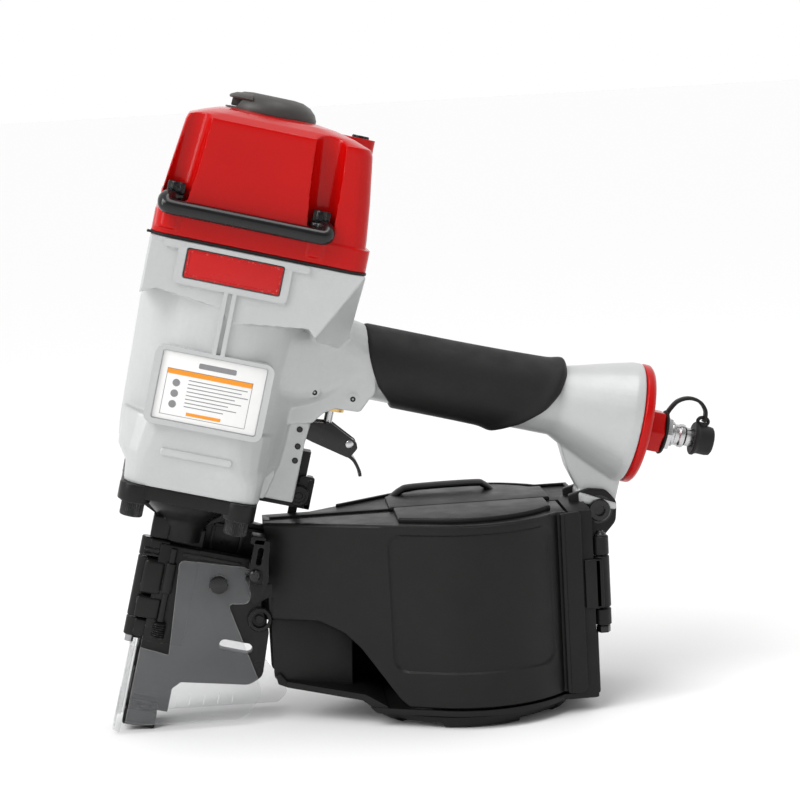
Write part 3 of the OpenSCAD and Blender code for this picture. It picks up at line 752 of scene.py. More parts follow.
def cap_bolts():
    parts = []
    for x in CAP_SCREW_X:
        for y in (-45, 45):
            parts += [knurled_head(x, y, 309, 5, 6.5), bar((x, y, 259), (x, y, 309.2), 3)]
    parts += [knurled_head(56, 20, 356.4, 5, 3.4), bar((56, 20, 349.5), (56, 20, 358.7), 3)]
    place(join(*parts), "cap_screws", "black_steel", "cap_bolts")


def guard_bars():
    """Round steel bars bent in under the heads of the cap screws."""
    path = [(-42, -43, 307.4), (-43.6, -47.6, 307.2), (-46.2, -52.6, 305.4), (-45.6, -56, 302.6),
        (-41.5, -56.5, 302), (-30, -56.5, 302), (0, -56.5, 302), (28, -56.5, 302), (38.5, -56.5, 302),
        (42.6, -56, 302.6), (43.2, -52.6, 305.4), (40.6, -47.6, 307.2), (39, -43, 307.4)]
    near = rod(path, 4.4, 24, 6)
    near = cast([near] + [bar((x, -45, 306.1), (x, -45, 308.9), 6.6) for x in CAP_SCREW_X], 0.6, 2)
    for x in CAP_SCREW_X:
        cut(near, bar((x, -45, 300), (x, -45, 306.1), 8), bar((x, -45, 308.9), (x, -45, 316), 6))
    obj = join(near, mirrored(near))
    place(obj, "guard_rods", "black_steel", "guard_bars")


def exhaust_deflector():
    profile = [(5.6, 10.4), (6.2, 11), (12, 11), (17, 10.4), (21.5, 8.4), (24.6, 5.4), (26, 2.2), (26, 0.2),
        (24.4, 0.2), (24, 2), (22.6, 4.6), (19, 7.4), (14, 8.8), (9, 9), (9, 0.2), (5.6, 0.2)]
    dome = turned(profile, (2, 0, 360.4), UP, 72)
    mouth = prism(rounded([(-30, 361.2), (-11, 362), (-9, 366.8), (-30, 369.2)], 1), -17, 17)
    dome = cut(dome, mouth)
    lip = cut(turned([(24.4, 5.9), (25, 6.9), (24.2, 7.9), (21, 9.4), (14, 10.3), (14, 8.9), (21, 8),
        (23.2, 6.9)], (2, 0, 360.4), UP, 72), block(-10, 40, -40, 40, 350, 380))
    rays = [prism(rounded([(-21, 362), (-9, 362), (-9, 369.6), (-20.6, 368.6)], 0.5), y - 0.6, y + 0.6)
        for y in (-6.5, 6.5)]
    obj = bevel(join(dome, lip, *rays), 0.35)
    place(obj, "exhaust_hood", "dark_plastic", "exhaust_deflector", body="deflector")


def deflector_bolt():
    head = knurled_head(2, 0, 367.7, 5.4, 3.2)
    obj = join(head, bar((2, 0, 348), (2, 0, 368), 3))
    place(obj, "hood_screw", "black_steel", "deflector_bolt")


def blend_line(points, v):
    """Straight-line interpolation through (v, value) points."""
    for (v0, a), (v1, b) in zip(points, points[1:]):
        if v <= v1:
            return a + (b - a) * max(0.0, (v - v0) / (v1 - v0))
    return points[-1][1]


def handle_grip():
    """Rubber sleeve with slanted, rounded ends and a swollen rear lip."""
    front = [(210, 101), (213.4, 99.6), (222, 91.5), (231, 86.6), (245, 80.6), (256, 76.6), (260, 76)]
    rear = [(205, 160), (211, 168), (218, 179), (228, 189.5), (240, 195.5), (252, 198.4), (262, 199)]
    sides, steps = 72, 56
    rings = []
    for k in range(steps + 1):
        t = k / steps
        here = []
        for turn in turns(sides):
            height = math.cos(turn)
            x0 = blend_line(front, 233 + 22.5 * height)
            x1 = blend_line(rear, 233 + 24 * height)
            x = x0 + (x1 - x0) * t
            swell = 1.6 * max(0.0, (x - 120) / 76) ** 2 + 1.3 * math.exp(-((x1 - x - 4) / 4.5) ** 2)
            edge = min(x - x0, x1 - x)
            rim = 1 - max(0.0, 1 - edge / 2.2) ** 2
            base = 20.45 + max(0.0, (x - 197) * 0.36)
            r = base + (2.3 + swell) * rim
            here.append((x, r * math.sin(turn), 233 + r * height))
        rings.append(here)
    inner = []
    for t in (1.0, 0.0):
        inner.append([(blend_line(front, 233 + 22.5 * math.cos(a)) * (1 - t)
            + blend_line(rear, 233 + 24 * math.cos(a)) * t, 20.2 * math.sin(a), 233 + 20.2 * math.cos(a))
            for a in turns(sides)])
    obj = loft(rings + inner + [rings[0]], closed=False)
    mod = obj.modifiers.new("round", "SUBSURF")
    mod.levels = 1
    mod.render_levels = 1
    apply(obj)
    place(obj, "grip_sleeve", "black_rubber", "handle_grip", sharp=60)


def end_cap():
    disc = turned([(0, 0), (33.6, 0), (35, 0.9), (35, 4.2), (33.4, 6), (28.6, 6), (27, 4.9), (15, 4.9),
        (15, 7), (0, 7)], (243, 0, 229), REAR, 96)
    spigot = bar((237, 0, 230), (243.2, 0, 230), 17.95)
    boss = bevel(prism(circle(0, PLUG_Z, 13.4, 6), 247, 262, "x"), 1.1, 3)
    obj = bevel(join(disc, spigot), 0.35)
    obj = join(obj, boss, turned([(9, 0), (13.2, 0), (13.2, 1.6), (12.2, 2.4), (9, 2.4)],
        (247.6, 0, PLUG_Z), REAR))
    place(obj, "rear_cap", "red_paint", "end_cap")


def air_plug():
    hexagon = bevel(prism(circle(0, PLUG_Z, 10.2, 6), 262, 267.2, "x"), 0.6)
    stem = turned([(3, -12), (6, -12), (6, 5.4), (7.2, 5.4), (7.4, 7), (6.2, 7.8), (6.2, 10), (6.9, 11),
        (6.9, 13.4), (5.5, 14.6), (5.5, 19), (4.5, 20), (4.5, 22.4), (5.5, 23.4), (5.5, 27.4), (4.8, 28),
        (3, 28)], (262, 0, PLUG_Z), REAR, 48)
    obj = join(hexagon, bevel(stem, 0.2))
    place(obj, "air_nipple", "bright_steel", "air_plug")


def dust_cap():
    profile = [(5.56, 0), (9.2, 0), (9.8, 0.6), (9.8, 1.8), (9.0, 2.6), (8.5, 4), (8.6, 9), (8.2, 11.2),
        (7, 12), (0, 12), (0, 9.5), (5.56, 9.5)]
    cup = turned(profile, (281, 0, PLUG_Z), REAR, 56)
    knot = bar((285.5, 0, 233), (285.5, 0, 237.2), 2.4)
    loop = rod([(285.5 + 3.2 * math.cos(a), 0, 237.8 + 2.4 * math.sin(a))
        for a in (2 * math.pi * k / 12 for k in range(13))], 1.1, 10, 2)
    obj = cast([knot, loop], 0.35, 3)
    obj = join(cup, obj)
    place(obj, "plug_dust_cap", "black_rubber", "dust_cap", body="plug_cap")


def dust_cap_strap():
    """Flat rubber tether: a ring on the plug, an arch, and its end on the cap."""
    washer = turned([(6.4, 0), (12.6, 0), (13, 0.5), (12.6, 1.6), (6.4, 1.6)], (262.2, 0, PLUG_Z), REAR, 56)
    path = [(263.2, 0, 237.5), (264.4, 0, 241), (268, 0, 246.6), (274, 0, 249.6), (280.5, 0, 249),
        (285, 0, 245), (286.2, 0, 240.5), (285.8, 0, 237.6)]
    obj = join(washer, flat_bar(path, 8, 2.7, 0.95, 0.6))
    place(obj, "cap_tether", "black_rubber", "dust_cap_strap", body=None)
    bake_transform(obj)


def labels():
    # Painted shade: a dark plastic strip set in the gap between the name plate and its seat, standing in for the
    # shadow in that gap
    plate_gap_shade = bevel(prism(rrect(-29.6, 24.6, 265.1, 281.7, 1.4), -51.9, -50.9), 0.15)
    place(plate_gap_shade, "name_plate_gap_shade", "dark_plastic")
    plate = prism(rrect(-29, 24, 265.6, 281.2, 1.1), -52.05, -51.2)
    bead = cut(prism(rrect(-28.2, 23.2, 266.4, 280.4, 0.8), -52.25, -51.6),
        prism(rrect(-27.6, 22.6, 267, 279.8, 0.6), -53, -51))
    place(join(bevel(plate, 0.25), bevel(bead, 0.1)), "name_plate_blank", "label_red", "name_plate")
    sheet = bevel(prism(rrect(-31.4, 26.4, 186.4, 224.2, 1), -51.35, -50.8), 0.08)
    place(sheet, "rating_sheet", "label_white", "rating_label")
    ink = -51.42
    orange = [block(-27.4, 20, ink, -51.3, 212, 214.8), block(-13, 6.3, ink, -51.3, 190.3, 192.1)]
    place(join(*orange), "rating_sheet_bars", "label_white", look="orange_ink")
    lines = []
    widths = [33, 30, 34, 27, 31, 24, 29, 22]
    for k, width in enumerate(widths):
        z = 209.6 - 2.1 * k
        lines.append(block(-15, width - 15, ink, -51.3, z, z + 0.5))
    edge = cut(block(-27.6, 20.2, ink, -51.3, 189, 215), block(-27.3, 19.9, ink - 1, -51, 189.3, 214.7))
    heading = prism(rrect(-11, 10, 217.4, 220.4, 0.8), ink, -51.3)
    discs = [bar((-21.5, ink, z), (-21.5, -51.3, z), 2.1, 24) for z in (207.4, 201.4, 195.4)]
    place(join(edge, heading, *lines, *discs), "rating_sheet_marks", "label_white", look="grey_ink")


def cross_pins():
    near = []
    for x, z in ((53.1, 189.6), (53.9, 179.8), (54, 171.4)):
        near.append(pin((x, -14.9, z), (x, 14.9, z), 1.75, 0.4, 28))
    place(join(*near), "strip_pins", "black_steel", "bracket_pins")
    far = []
    for x, half in ((56.4, 25), (78.8, 21.3)):
        sleeve = pin((x, -half, 213.4), (x, half, 213.4), 1.55, 0.3, 28)
        holes = [bar((x, side * (half + 1), 213.4), (x, side * (half - 1.4), 213.4), 0.6, 16)
            for side in (-1, 1)]
        far.append(cut(sleeve, *holes))
    place(join(*far), "spring_pins", "black_steel", "roll_pins")


def trigger():
    outline = rounded([(49.6, 186.6), (49.6, 192.6), (58.5, 194.2), (71, 195.6), (87.4, 187.4), (88.6, 184),
        (85, 177.4), (62, 182.8)], [2, 2, 3, 3, 3, 2, 2.5, 2])
    cheeks = [prism(outline, -7.4, -5.5), prism(outline, 5.5, 7.4)]
    path = [(71.5, 0, 182), (78, 0, 180.4), (83.4, 0, 179), (87.6, 0, 177), (90.8, 0, 173.4),
        (92.6, 0, 170.6), (93.4, 0, 168.4)]
    blade = flat_bar(path, 5, 7.3, 0.95, 0.7)
    obj = join(bevel(join(*cheeks), 0.45), blade)
    place(obj, "trigger_lever", "black_steel", "trigger", body="trigger_set")
    head = [pin((83.4, -8.3, 185.7), (83.4, 8.3, 185.7), 1.5, 0.2, 24)]
    for side in (-1, 1):
        head.append(turned([(0, 1.5), (1.5, 1.4), (2.3, 0.9), (2.3, 0.05), (0, 0.05)],
            (83.4, side * 7.4, 185.7), (0, side, 0), 28))
    place(join(*head), "lever_rivet", "spring_steel", "lever_pin", body="trigger_set", look="bright_steel")


# ---- Nose, door, shield and contact foot ----

def hex_head(x, y, z0, z1, radius):
    """Flanged cap-screw head that hangs below the nose flange."""
    body = knurled_head(x, y, z0, radius, z1 - z0, 34)
    body.data.transform(Matrix.Translation((0, 0, z0 + z1)) @ Matrix.Scale(-1, 4, UP))
    tidy(body)
    return body


def sight_slot(x0, x1, z0, z1):
    return prism(rrect(x0, x1, z0, z1, (z1 - z0) * 0.49, 8), -30, 30)


def nose_body():
    flange = bevel(prism(rrect(-41, 36.6, -48, 48, 12, 6), 139, 147, "z"), 1.2, 3)
    ears = [bevel(bar((x, y, 136.6), (x, y, 146.8), 9.3, 40), 0.8) for x in NOSE_SCREW_X for y in (-41, 41)]
    bowl = turned([(0, 112), (12.5, 112), (13, 120), (16.5, 125.5), (22, 130), (25, 134), (26, 139.5),
        (0, 139.5)], (-2, 0, 0), UP, 64)
    ribs = [bevel(prism([(x0, 139), (x0, 133), (x1, 122), (x1, 139)], y - 2, y + 2), 0.6)
        for x0, x1, y in ((-36, -14, 0), (33, 12, 0))]
    column = brick(-13, 13, -3, 16, 30, 120, 1.4, 3)
    flare = rounded([(-13, 19.8), (6.3, 19.8), (7, 22), (16, 31.4), (13, 34), (-13, 34)],
        [1, 1, 2, 2, 0, 0])
    tip = bevel(prism(flare, -12, 16), 0.8)
    plate = rounded([(10, 31), (54, 36.8), (60.6, 44), (58.4, 72), (47, 100), (43.5, 122), (10, 126)],
        [0, 8, 6, 6, 4, 3, 0])
    plate = bevel(cut(prism(plate, 5, 13), sight_slot(32, 54.4, 50.2, 59.6)), 0.8)
    wing = rounded([(38, 126), (61, 123), (68, 98), (64, 74), (50, 70)], [0, 3, 4, 3, 0])
    top = rounded([(-13, 106), (50, 106), (47, 127), (-12, 131)], [0, 0, 3, 2])
    backing = [bevel(prism(wing, 5.4, 12.4), 0.8), bevel(prism(top, 4, 12), 0.8),
        block(-17, -12, -3.2, 6, 50, 113)]
    for x in (2, 16, 33):
        backing.append(brick(x, x + 1.8, 1.6, 5, 108, 127, 0.4))
    backing.append(brick(-12, 46, 1.6, 5, 122.5, 124.5, 0.4))
    rib_a = panel([(16, 64), (46, 70), (46, 73), (16, 67)], 1, 12.6, 15, 0.5)
    parts = [flange, bowl, column, tip, plate, rib_a] + ears + ribs + backing
    for z in (53, 100.5):
        parts += [turned([(2.55, 0), (3.5, 0), (3.9, 0.5), (3.9, 10.5), (3.5, 11), (2.55, 11)],
            (*GATE_PIN_XY, z), UP, 40), brick(-18, -6, -12, 3, z + 0.4, z + 10.6, 1.2, 3)]
    for z in (101.2, 104.2):
        parts.append(brick(-20.5, -5, -13.2, 2, z, z + 1.6, 0.6))
    parts += [brick(-18.6, -8, -12, 2, 111.8, 125, 1.2, 3), brick(-17, -6, -8, 8, 118, 131, 1.2, 3),
        brick(-12, -6, 15, 20.7, 60, 68, 0.6), brick(-5, 3.5, 15, 24.5, 107, 111, 0.6)]
    place(join(*parts), "nose_casting", "nose_steel", "nose_body")


def nose_bolts():
    parts = []
    for x in NOSE_SCREW_X:
        for y in (-41, 41):
            washer = turned([(0, 0), (7.6, 0), (7.6, 0.9), (0, 0.9)], (x, y, 136.0), UP, 40)
            parts += [hex_head(x, y, 128, 136.7, 6.5), washer, bar((x, y, 136), (x, y, 163), 4, 24)]
    place(join(*parts), "nose_screws", "black_steel", "nose_bolts")


def nose_door():
    outline = rounded([(-11.5, 33), (13, 31), (54.5, 37), (61, 43.5), (59.4, 70), (52, 84), (49.5, 96),
        (46.5, 109.5), (-11.5, 109.5)], [2, 2, 8, 6, 6, 5, 3, 3, 2])
    plate = prism(outline, -13.4, -5)
    pocket = block(22, 51, -12.2, -4, 64, 90)
    plate = bevel(cut(plate, sight_slot(32.6, 52, 54.2, 61), pocket), 0.8)
    parts = [plate, brick(-11.6, 12, -14, -3.4, 52, 109.6, 1.0),
        turned([(2.55, 0), (3.5, 0), (3.9, 0.5), (3.9, 35.1), (3.5, 35.6), (2.55, 35.6)],
        (*GATE_PIN_XY, 64.45), UP, 40), brick(-19, -5.2, -15.4, -5, 65.2, 77.5, 1.2, 3),
        brick(-18.6, -6, -14.6, -4.6, 79, 99.6, 2.4, 4)]
    rods = [((82, 100), 3.1, 0.5), ((100, 108.4), 1.9, 0.2), ((65, 82), 1.9, 0.2)]
    for (z0, z1), r, edge in rods:
        parts.append(pin((-3.4, -15.8, z0), (-3.4, -15.8, z1), r, edge, 28))
    thread = []
    for k in range(7):
        thread += [(3.1, 1.25 * k), (3.9, 1.25 * k + 0.45), (3.9, 1.25 * k + 0.8)]
    collar = turned([(0, 0)] + thread + [(3.1, 8.9), (0, 8.9)], (-3.4, -15.6, 55.4), UP, 36)
    parts += [collar, turned([(5.6, 0), (7.2, 0), (7.2, 1.8), (6.6, 2.6), (4.9, 2.6), (4.9, 1.2)],
        (52.6, -13.2, 76.4), NEAR, 44), pin((52.6, -12.6, 76.4), (52.6, -15.2, 76.4), 2.6, 0.4, 28)]
    wing = rounded([(44, 86.5), (48, 84.5), (60, 94), (58.6, 99), (47.5, 97)], 0.8)
    parts.append(bevel(prism(wing, -15.2, -13.2), 0.4))
    for z in (100, 108):
        parts.append(brick(39.6, 48.4, -22.4, -13.2, z - 1.4, z + 1.4, 0.4))
    rib = rrect(2, 36, 104.6, 107, 0.9)
    parts.append(bevel(prism(rib, -14.6, -13), 0.4))
    place(join(*parts), "nose_gate", "nose_steel", "nose_door", body="door")


def door_latch():
    outline = rounded([(40, 124.4), (48.5, 125), (49.6, 116), (52.2, 102), (50, 91), (46.6, 86.5),
        (42.4, 96), (40.2, 108)], [1.5, 1.5, 8, 3, 3, 2, 3, 8])
    lever = prism(outline, -27.2, -23)
    slot = prism(rrect(42.9, 46.1, 110, 120.6, 1.5), -30, -20)
    groove = cut(prism(rounded([(42.2, 99), (49.4, 99), (47.8, 107.6), (42.6, 107.6)], 1), -26.4, -28),
        bar((44, -30, 104), (44, -20, 104), 2.4))
    lever = bevel(cut(lever, slot, groove, bar((44, -30, 104), (44, -20, 104), 1.6)), 0.5)
    hook = panel([(37.6, 121.4), (46, 121.8), (46, 126.6), (37.6, 126.2)], 1, -27.2, -14.8, 0.5)
    place(join(lever, hook), "gate_latch", "nose_steel", "door_latch", body="latch")


def latch_pin():
    parts = [pin((44, -29.4, 104), (44, -14, 104), 1.5, 0.3, 24),
        turned([(0, 0), (3.2, 0), (3.2, 0.8), (2.4, 1.5), (0, 1.6)], (44, -27.6, 104), NEAR, 28)]
    place(join(*parts), "latch_rivet", "spring_steel", "latch_pin", body="door", look="black_steel")


def shield_sheet(outline, y, holes=()):
    """Clear sheet in the side plane, 1.2 mm thick, with softened rims."""
    sheet = prism(outline, y, y + 1.2)
    if holes:
        sheet = cut(sheet, *holes)
    return bevel(sheet, 0.25)


def ticks(y):
    """Short scale marks moulded along the lower rim."""
    marks = []
    for k, x in enumerate((14, 22, 30, 38, 46)):
        marks.append(block(x, x + 0.35, y - 0.12, y + 0.1, 14 + 0.26 * x, 19 + 0.26 * x
            + (1.6 if k % 2 else 0)))
    return marks


def shields():
    tab = rounded([(0.6, 102.4), (37.5, 105.4), (42.8, 104), (45, 84.6), (32.6, 82.4), (58.2, 42.6),
        (62.6, 34), (56, 17.5), (24, 9.4), (-11.8, 0.6), (-11.8, 48.2), (5.2, 46.6)],
        [3, 1, 4, 4, 2, 3, 4, 10, 2, 0.4, 0.4, 0.6], 6)
    near = shield_sheet(tab, -17, [bar((25.2, -20, 92.7), (25.2, -10, 92.7), 2.05, 28)])
    spacer = turned([(2.1, 0), (5, 0), (5, 1.7), (2.1, 1.7)], (25.2, -15.7, 92.7), FAR, 36)
    near = join(near, spacer, *ticks(-17))
    place(near, "nail_guard_near", "clear_plastic", "shield_near", body="door", sharp=25)
    far_outline = rounded([(-17.4, -3), (76, 21), (81, 29), (58, 50), (30, 66), (-6, 70), (-12, 70),
        (-12, 58), (-17.4, 50)], [0.3, 4, 5, 6, 8, 3, 2, 2, 1], 6)
    far = shield_sheet(far_outline, 20.8)
    wrap = []
    for k in range(13):
        turn = math.pi / 2 * k / 12
        wrap.append((-14.2 - 4.0 * math.sin(turn), -12.3 - 4.7 * math.cos(turn)))
    outer = wrap + [(-18.2, 17.6), (-17.2, 20.6), (-14.4, 22)]
    inner = [(-14.4, 20.8), (-16.3, 19.8), (-17.0, 17.2)] + [(x + 1.2 * (1 if y > -13 else 0.35), y + 1.15
        * (0 if y > -13 else 1)) for x, y in reversed(wrap)]
    front = loft([[(x, y, z) for x, y in outer + inner] for z in (-3.2, 10, 24, 36, 48.4)])
    slits = []
    for y in (-6, 4):
        slits += [block(-30, -10, y - 0.35, y + 0.35, -6, 17), bar((-30, y, 17), (-10, y, 17), 0.9, 20)]
    front = cut(front, *slits)
    place(join(far, front), "nail_guard_far", "clear_plastic", "shield_far", sharp=25)


def shield_screw():
    parts = [turned([(0, 0), (5.2, 0), (5.3, 0.5), (5.0, 2.2), (4.2, 2.6), (0, 2.7)], (25.2, -17.0, 92.7),
        NEAR, 44), bar((25.2, -17.1, 92.7), (25.2, -11, 92.7), 2, 24)]
    place(join(*parts), "guard_knob", "black_steel", "shield_screw", body="door")


def contact_foot():
    shoe = rounded([(-13.5, 0.8), (-12.6, 0), (4.6, 0), (5.5, 0.8), (5.4, 9.3), (-13.5, 9.3)],
        [0, 0, 0, 0, 1, 1])
    shoe = cut(prism(shoe, -8.6, 16.8), bar((0, 0, -1), (0, 0, 10), 4.8, 40))
    groove = cut(block(-14, 6, -9, 17, 2.2, 2.7), block(-12.9, 4.9, -8, 16.2, 1, 4))
    frame_cut = cut(shoe, groove)
    parts = [bevel(frame_cut, 0.5, 2), brick(-13.5, -9.8, -2.9, 12.6, 8, 45, 0.6),
        brick(-13.5, 12, 13.05, 16.8, 5, 48, 0.6), panel([(5.4, 8), (12, 26), (12, 34), (5.4, 34)],
        [0, 2, 1, 1], 13.05, 16.8, 0.5)]
    place(join(*parts), "contact_shoe", "nose_steel", "contact_foot", body="contact_set")


def contact_arm():
    """One bent flat bar from the foot past the feed to the trigger."""
    parts = [block(-4, 12, 16.8, 19.6, 20, 86), block(-5, 4, 16.8, 24.5, 83, 86),
        block(4, 12, 16.8, 19.6, 80, 119), block(4, 12, 14.2, 19.6, 112, 119),
        block(4, 63, 14.2, 17, 112, 119), block(58, 63, 14.2, 17, 112, 148),
        block(58, 63, -5, 17, 143.5, 148), block(58, 63, -5, 5, 143.5, 176.5)]
    obj = bevel(fuse(parts[0], *parts[1:]), 0.6, 3)
    place(obj, "contact_link", "nose_steel", "contact_arm", body="contact_set")


def arm_guide():
    post = rrect(64.4, 68, 143.8, 161, 0.5)
    cheek = rounded([(58.2, 143.9), (67.2, 143.9), (68, 162.6), (59.4, 162.6)], [1, 1, 1.2, 1.2])
    parts = [bevel(prism(post, -9, 9), 0.5), brick(36.6, 68, -9, 9, 143.8, 146.9, 0.6),
        bevel(prism(cheek, -8.6, -6.3), 0.5), turned([(2.2, 0), (5.8, 0), (6, 0.6), (6, 3.2), (5.4, 3.8),
        (4.2, 3.8), (4.2, 2.6), (2.2, 2.6)], (60.6, -7.6, 151), NEAR, 40),
        pin((60.6, -7.2, 151), (60.6, -10.6, 151), 2.3, 0.4, 24)]
    place(join(*parts), "link_guide", "nose_steel", "arm_guide")


def feed_cylinder():
    body = turned([(3.06, 34), (10, 34), (11, 35), (11, 71), (10.4, 71.6), (8, 71.6), (8, 37), (3.06, 37)],
        (0, 29, 95), REAR, 56)
    fins = [turned([(10.6, x), (11.9, x + 0.3), (11.9, x + 1.2), (10.6, x + 1.5)], (0, 29, 95), REAR, 56)
        for x in (40, 46, 52, 58, 64)]
    bracket = brick(34, 46, 13, 24, 88, 102, 1.0)
    place(join(body, bracket, *fins), "feed_barrel", "nose_steel", "feed_cylinder")
    cap = turned([(0, 0), (7.95, 0), (7.95, 5), (10.2, 5), (11, 5.8), (11, 7.4), (10, 8.4), (4, 8.4),
        (3.4, 7.2), (0, 7.2)], (67, 29, 95), REAR, 56)
    place(bevel(cap, 0.2), "feed_barrel_cap", "black_steel", "feed_cylinder_cap")


# ---- Canister magazine, drawn in the frame of the floor ----

CAN_X, CAN_R = 196, 62.45
HINGE_XY = (267, -37)


def arc(start, end, radius, steps):
    angles = [math.radians(start + (end - start) * k / steps) for k in range(steps + 1)]
    return [(CAN_X + radius * math.cos(a), radius * math.sin(a)) for a in angles]


def plan(inset=0.0):
    """Teardrop outline of the canister with its feed neck and square rear."""
    radius = CAN_R - inset
    half = 42 - inset
    corner = math.degrees(math.asin(half / radius))
    slope = 1.12 * inset
    return ([(76, -14 + slope)] + arc(-114.5, -corner, radius, 34)
        + [(262 - inset, -half), (262 - inset, half)] + arc(corner, 125.2, radius, 34)
        + [(104, 13 - slope), (76, 13 - slope)])


def near_path(step=1.05):
    """Points and outward directions along the near wall, from the neck to the rear edge."""
    corner = math.degrees(math.asin(42 / CAN_R))
    line = [(76.5, -14.2)] + arc(-114.5, -corner, CAN_R, 60) + [(247.2, -42)]
    points = [Vector(p) for p in line]
    even = [points[0]]
    for a, b in zip(points, points[1:]):
        count = max(1, round((b - a).length / step))
        even += [a + (b - a) * (k + 1) / count for k in range(count)]
    result = []
    for k, p in enumerate(even):
        ahead = direction(even, k)
        result.append((p, Vector((ahead.y, -ahead.x))))
    return result


def soft_step(value, width):
    t = max(0.0, min(1.0, 0.5 + value / width))
    return t * t * (3 - 2 * t)


def panel_depth(x, z):
    """Depth of the shallow rounded panel pressed into the cover."""
    radius = 7
    dx = abs(x - 191) - (46 - radius)
    dz = abs(z - 72.5) - (39.5 - radius)
    outside = math.hypot(max(dx, 0), max(dz, 0)) + min(max(dx, dz), 0) - radius
    return 1.1 * soft_step(-outside, 0.9)


def cover_low(x):
    return blend_line([(70, 61), (104, 60.5), (118, 54), (127, 45), (147, 16.5), (152, 12), (300, 12)], x)


def magazine_cover():
    rings = []
    top, steps = 117.6, 104
    for point, out in near_path():
        low = cover_low(point.x)
        outer, inner = [], []
        for k in range(steps + 1):
            z = low + (top - low) * k / steps
            edge = min(z - low, top - z)
            round_off = 1.5 * max(0.0, 1 - edge / 1.6) ** 2
            at = point - out * (panel_depth(point.x, z) + round_off)
            outer.append((at.x, at.y, z))
            if k in (0, steps):
                at = point - out * 3
                inner.append((at.x, at.y, z))
        rings.append(outer + inner[::-1])
    wall = loft(rings)
    lid = combine(prism(plan(0.5), 114, 117.4, "z"), [block(70, 247.2, -80, -4.7, 100, 130)], "INTERSECT")
    lid = bevel(lid, 0.6)
    step = combine(prism(plan(9), 116.8, 120.2, "z"), [block(152, 240, -80, -6, 100, 130)], "INTERSECT")
    step = bevel(step, 1.0, 3)
    rear = panel([(243.6, 12), (255.4, 12), (255.4, 118), (243.6, 117)], [2, 4, 2, 0], -44.9, -42.5, 0.7, 3)
    rear = cut(rear, block(245.6, 246.1, -46, -44.5, 0, 130))
    arm = brick(256.4, 266, -44.6, -41.5, 61, 89.4, 0.9, 3)
    barrel = turned([(2.06, 0), (4.3, 0), (4.9, 0.6), (4.9, 29.4), (4.3, 30), (2.06, 30)],
        (*HINGE_XY, 60.1), UP, 40)
    link = brick(262.7, 267, -44.6, -37.5, 61, 89.4, 0.5)
    hook = brick(78, 90, -15.5, -11.5, 66, 74, 0.6)
    obj = join(wall, lid, step, rear, arm, barrel, link, hook)
    place(obj, "magazine_door", "charcoal_plastic", "magazine_cover", body="cover", grid=STAND)


def magazine_body():
    side = rounded([(76, 118), (76, 26), (84, 21), (126, 15), (134, 8), (264, 8), (264, 118)],
        [1, 4, 4, 3, 3, 4, 3])
    shell = cut(prism(plan(), 8, 117.6, "z"), prism(plan(3), 11, 114.6, "z"))
    shell = combine(shell, [prism(side, -70, 70)], "INTERSECT")
    shell = cut(shell, block(60, 248.7, -70, -4.2, 11.1, 130), block(80, 190, -3.9, 3.9, 112, 130))
    shell = bevel(shell, 0.7)
    parts = [shell, bar((CAN_X, 0, 9), (CAN_X, 0, 72), 6.95, 48)]
    apron = rounded([(77, 61), (77, 26), (83, 21.4), (122, 15.8), (123.6, 48), (112, 61)],
        [0, 4, 4, 1, 2, 0])
    parts.append(bevel(prism(apron, -13.6, -10.8), 0.6))
    ramp = [(84, 20.6), (126, 15), (135, 8.6), (140, 8.6), (140, 12), (128, 18.4), (84, 24)]
    parts.append(combine(prism(ramp, -60, 60), [prism(plan(1), 4, 40, "z")], "INTERSECT"))
    lip = rounded([(77.6, 28), (79, 22.6), (84, 20.4), (124, 14.9), (125, 17.2), (84.6, 23.4), (80.4, 29)],
        0.7)
    parts.append(bevel(prism(lip, -16.2, -12.8), 0.7))
    rim = cut(prism(plan(1.2), 117.2, 119.2, "z"), prism(plan(3.6), 116, 121, "z"))
    rim = cut(rim, block(60, 300, -70, -4.2, 100, 140), block(60, 120, -70, 70, 100, 140))
    parts.append(bevel(rim, 0.5))
    deck = combine(prism(plan(10), 117, 119.8, "z"), [block(150, 244, -3.6, 80, 100, 130)], "INTERSECT")
    parts.append(bevel(deck, 1.1, 3))
    strap = rod([(153, 36, 117), (160, 36, 122), (168, 36, 123.6), (203, 36, 123.8), (210, 36, 122.4),
        (216, 36, 117)], 2.0, 16, 5)
    widen = Matrix.Translation((0, 36, 0)) @ Matrix.Scale(2.6, 4, FAR) @ Matrix.Translation((0, -36, 0))
    strap.data.transform(widen)
    parts.append(strap)
    for z, tall in ((49.7, 9.6), (90.6, 11)):
        parts += [turned([(2.06, 0), (4.2, 0), (4.8, 0.5), (4.8, tall - 0.5), (4.2, tall), (2.06, tall)],
            (*HINGE_XY, z), UP, 40), brick(258, 267, -38, -32.5, z + 0.4, z + tall - 0.4, 0.5)]
    for x0, x1, y, z0, z1 in ((256.5, 263.4, -41, 10, 47), (255.6, 263.6, 30, 10, 112),
        (255.6, 264.2, -8, 10, 92)):
        parts.append(brick(x0, x1, y, y + 7, z0, z1, 1.4, 3))
    ear = rounded([(254, 96), (262, 90), (270, 92), (281, 104), (282, 116), (276, 123), (266, 124.4),
        (254, 121.5)], [0, 3, 5, 8, 7, 6, 5, 0])
    for y in (-13, 8.4):
        parts.append(bevel(prism(ear, y, y + 4.6), 0.8, 3))
    gusset = rrect(78, 90, 36.5, 57.5, 1)
    parts.append(bevel(prism(gusset, 12.4, 17), 0.6))
    for x in (186, 203):
        wall = 61.2 - 0.16 * abs(x - CAN_X)
        parts.append(bevel(prism(rrect(x, x + 3, 16, 112, 1.2), wall, wall + 1.7), 0.4))
    place(join(*parts), "magazine_canister", "charcoal_plastic", "magazine_body", grid=STAND)


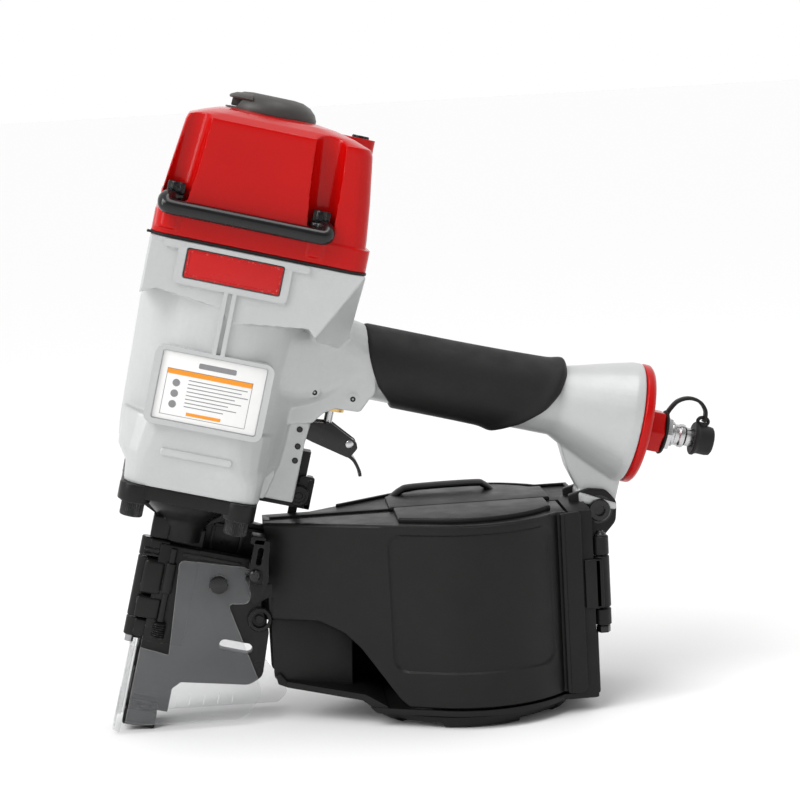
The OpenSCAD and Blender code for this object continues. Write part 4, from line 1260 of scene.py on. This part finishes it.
def magazine_base():
    disc = turned([(0, 2), (46, 2), (50, 0.4), (54.5, 0), (57.4, 1.4), (58.5, 4.6), (58.5, 6.6), (57.6, 8),
        (0, 8)], (192, 0, 0), UP, 96)
    notches = []
    for middle in (-128, -52, 20, 92, 164):
        corners = [(r, math.radians(middle + turn)) for r, turn in ((44, -13), (66, -17), (66, 17), (44, 13))]
        wedge = [(192 + r * math.cos(a), r * math.sin(a)) for r, a in corners]
        notches.append(prism(wedge, -1, 3.4, "z"))
    disc = bevel(cut(disc, *notches), 0.5)
    place(disc, "canister_foot", "charcoal_plastic", "magazine_base", grid=STAND)


def hinge_and_mount():
    parts = [pin((*HINGE_XY, 45), (*HINGE_XY, 104.6), 2, 0.4, 24),
        bevel(prism(circle(*HINGE_XY, 4.2, 6), 45.2, 49.2, "z"), 0.4),
        turned([(0, 0), (3.6, 0), (3.6, 0.8), (2.4, 1.8), (0, 2)], (*HINGE_XY, 101.8), UP, 28)]
    place(join(*parts), "magazine_hinge_bolt", "black_steel", "magazine_hinge_pin", grid=STAND)
    head = turned([(0, 0), (5.2, 0), (6.5, 1.2), (6.5, 4.2), (5.9, 5), (3.4, 5), (3.4, 2.2), (0, 2.2)],
        (233, -13, 177), NEAR, 40)
    washer = turned([(4, 0), (8.4, 0), (8.4, 0.7), (4, 0.7)], (233, -13, 177), NEAR, 40)
    place(join(head, washer, bar((233, -14, 177), (233, 19.8, 177), 4)), "lug_screw", "black_steel",
        "mount_bolt")
    nut = cut(bevel(prism(circle(233, 177, 7.5, 6), 13.2, 19), 0.5),
        bar((233, 10, 177), (233, 22, 177), 4.05))
    place(nut, "lug_nut", "black_steel", "mount_nut")


dress_cad_nodes()
frame["nodes"]["valve_stem"].material_slots[0].material = MATERIALS["bright_steel"]
for build in (housing, gasket, cylinder_cap, cap_bolts, guard_bars, exhaust_deflector, deflector_bolt,
    handle_grip, end_cap, air_plug, dust_cap, dust_cap_strap, labels, cross_pins, trigger, nose_body,
    nose_bolts, nose_door, door_latch, latch_pin, shields, shield_screw, contact_foot, contact_arm,
    arm_guide, feed_cylinder, magazine_cover, magazine_body, magazine_base, hinge_and_mount):
    build()
stage()
lights()
camera()
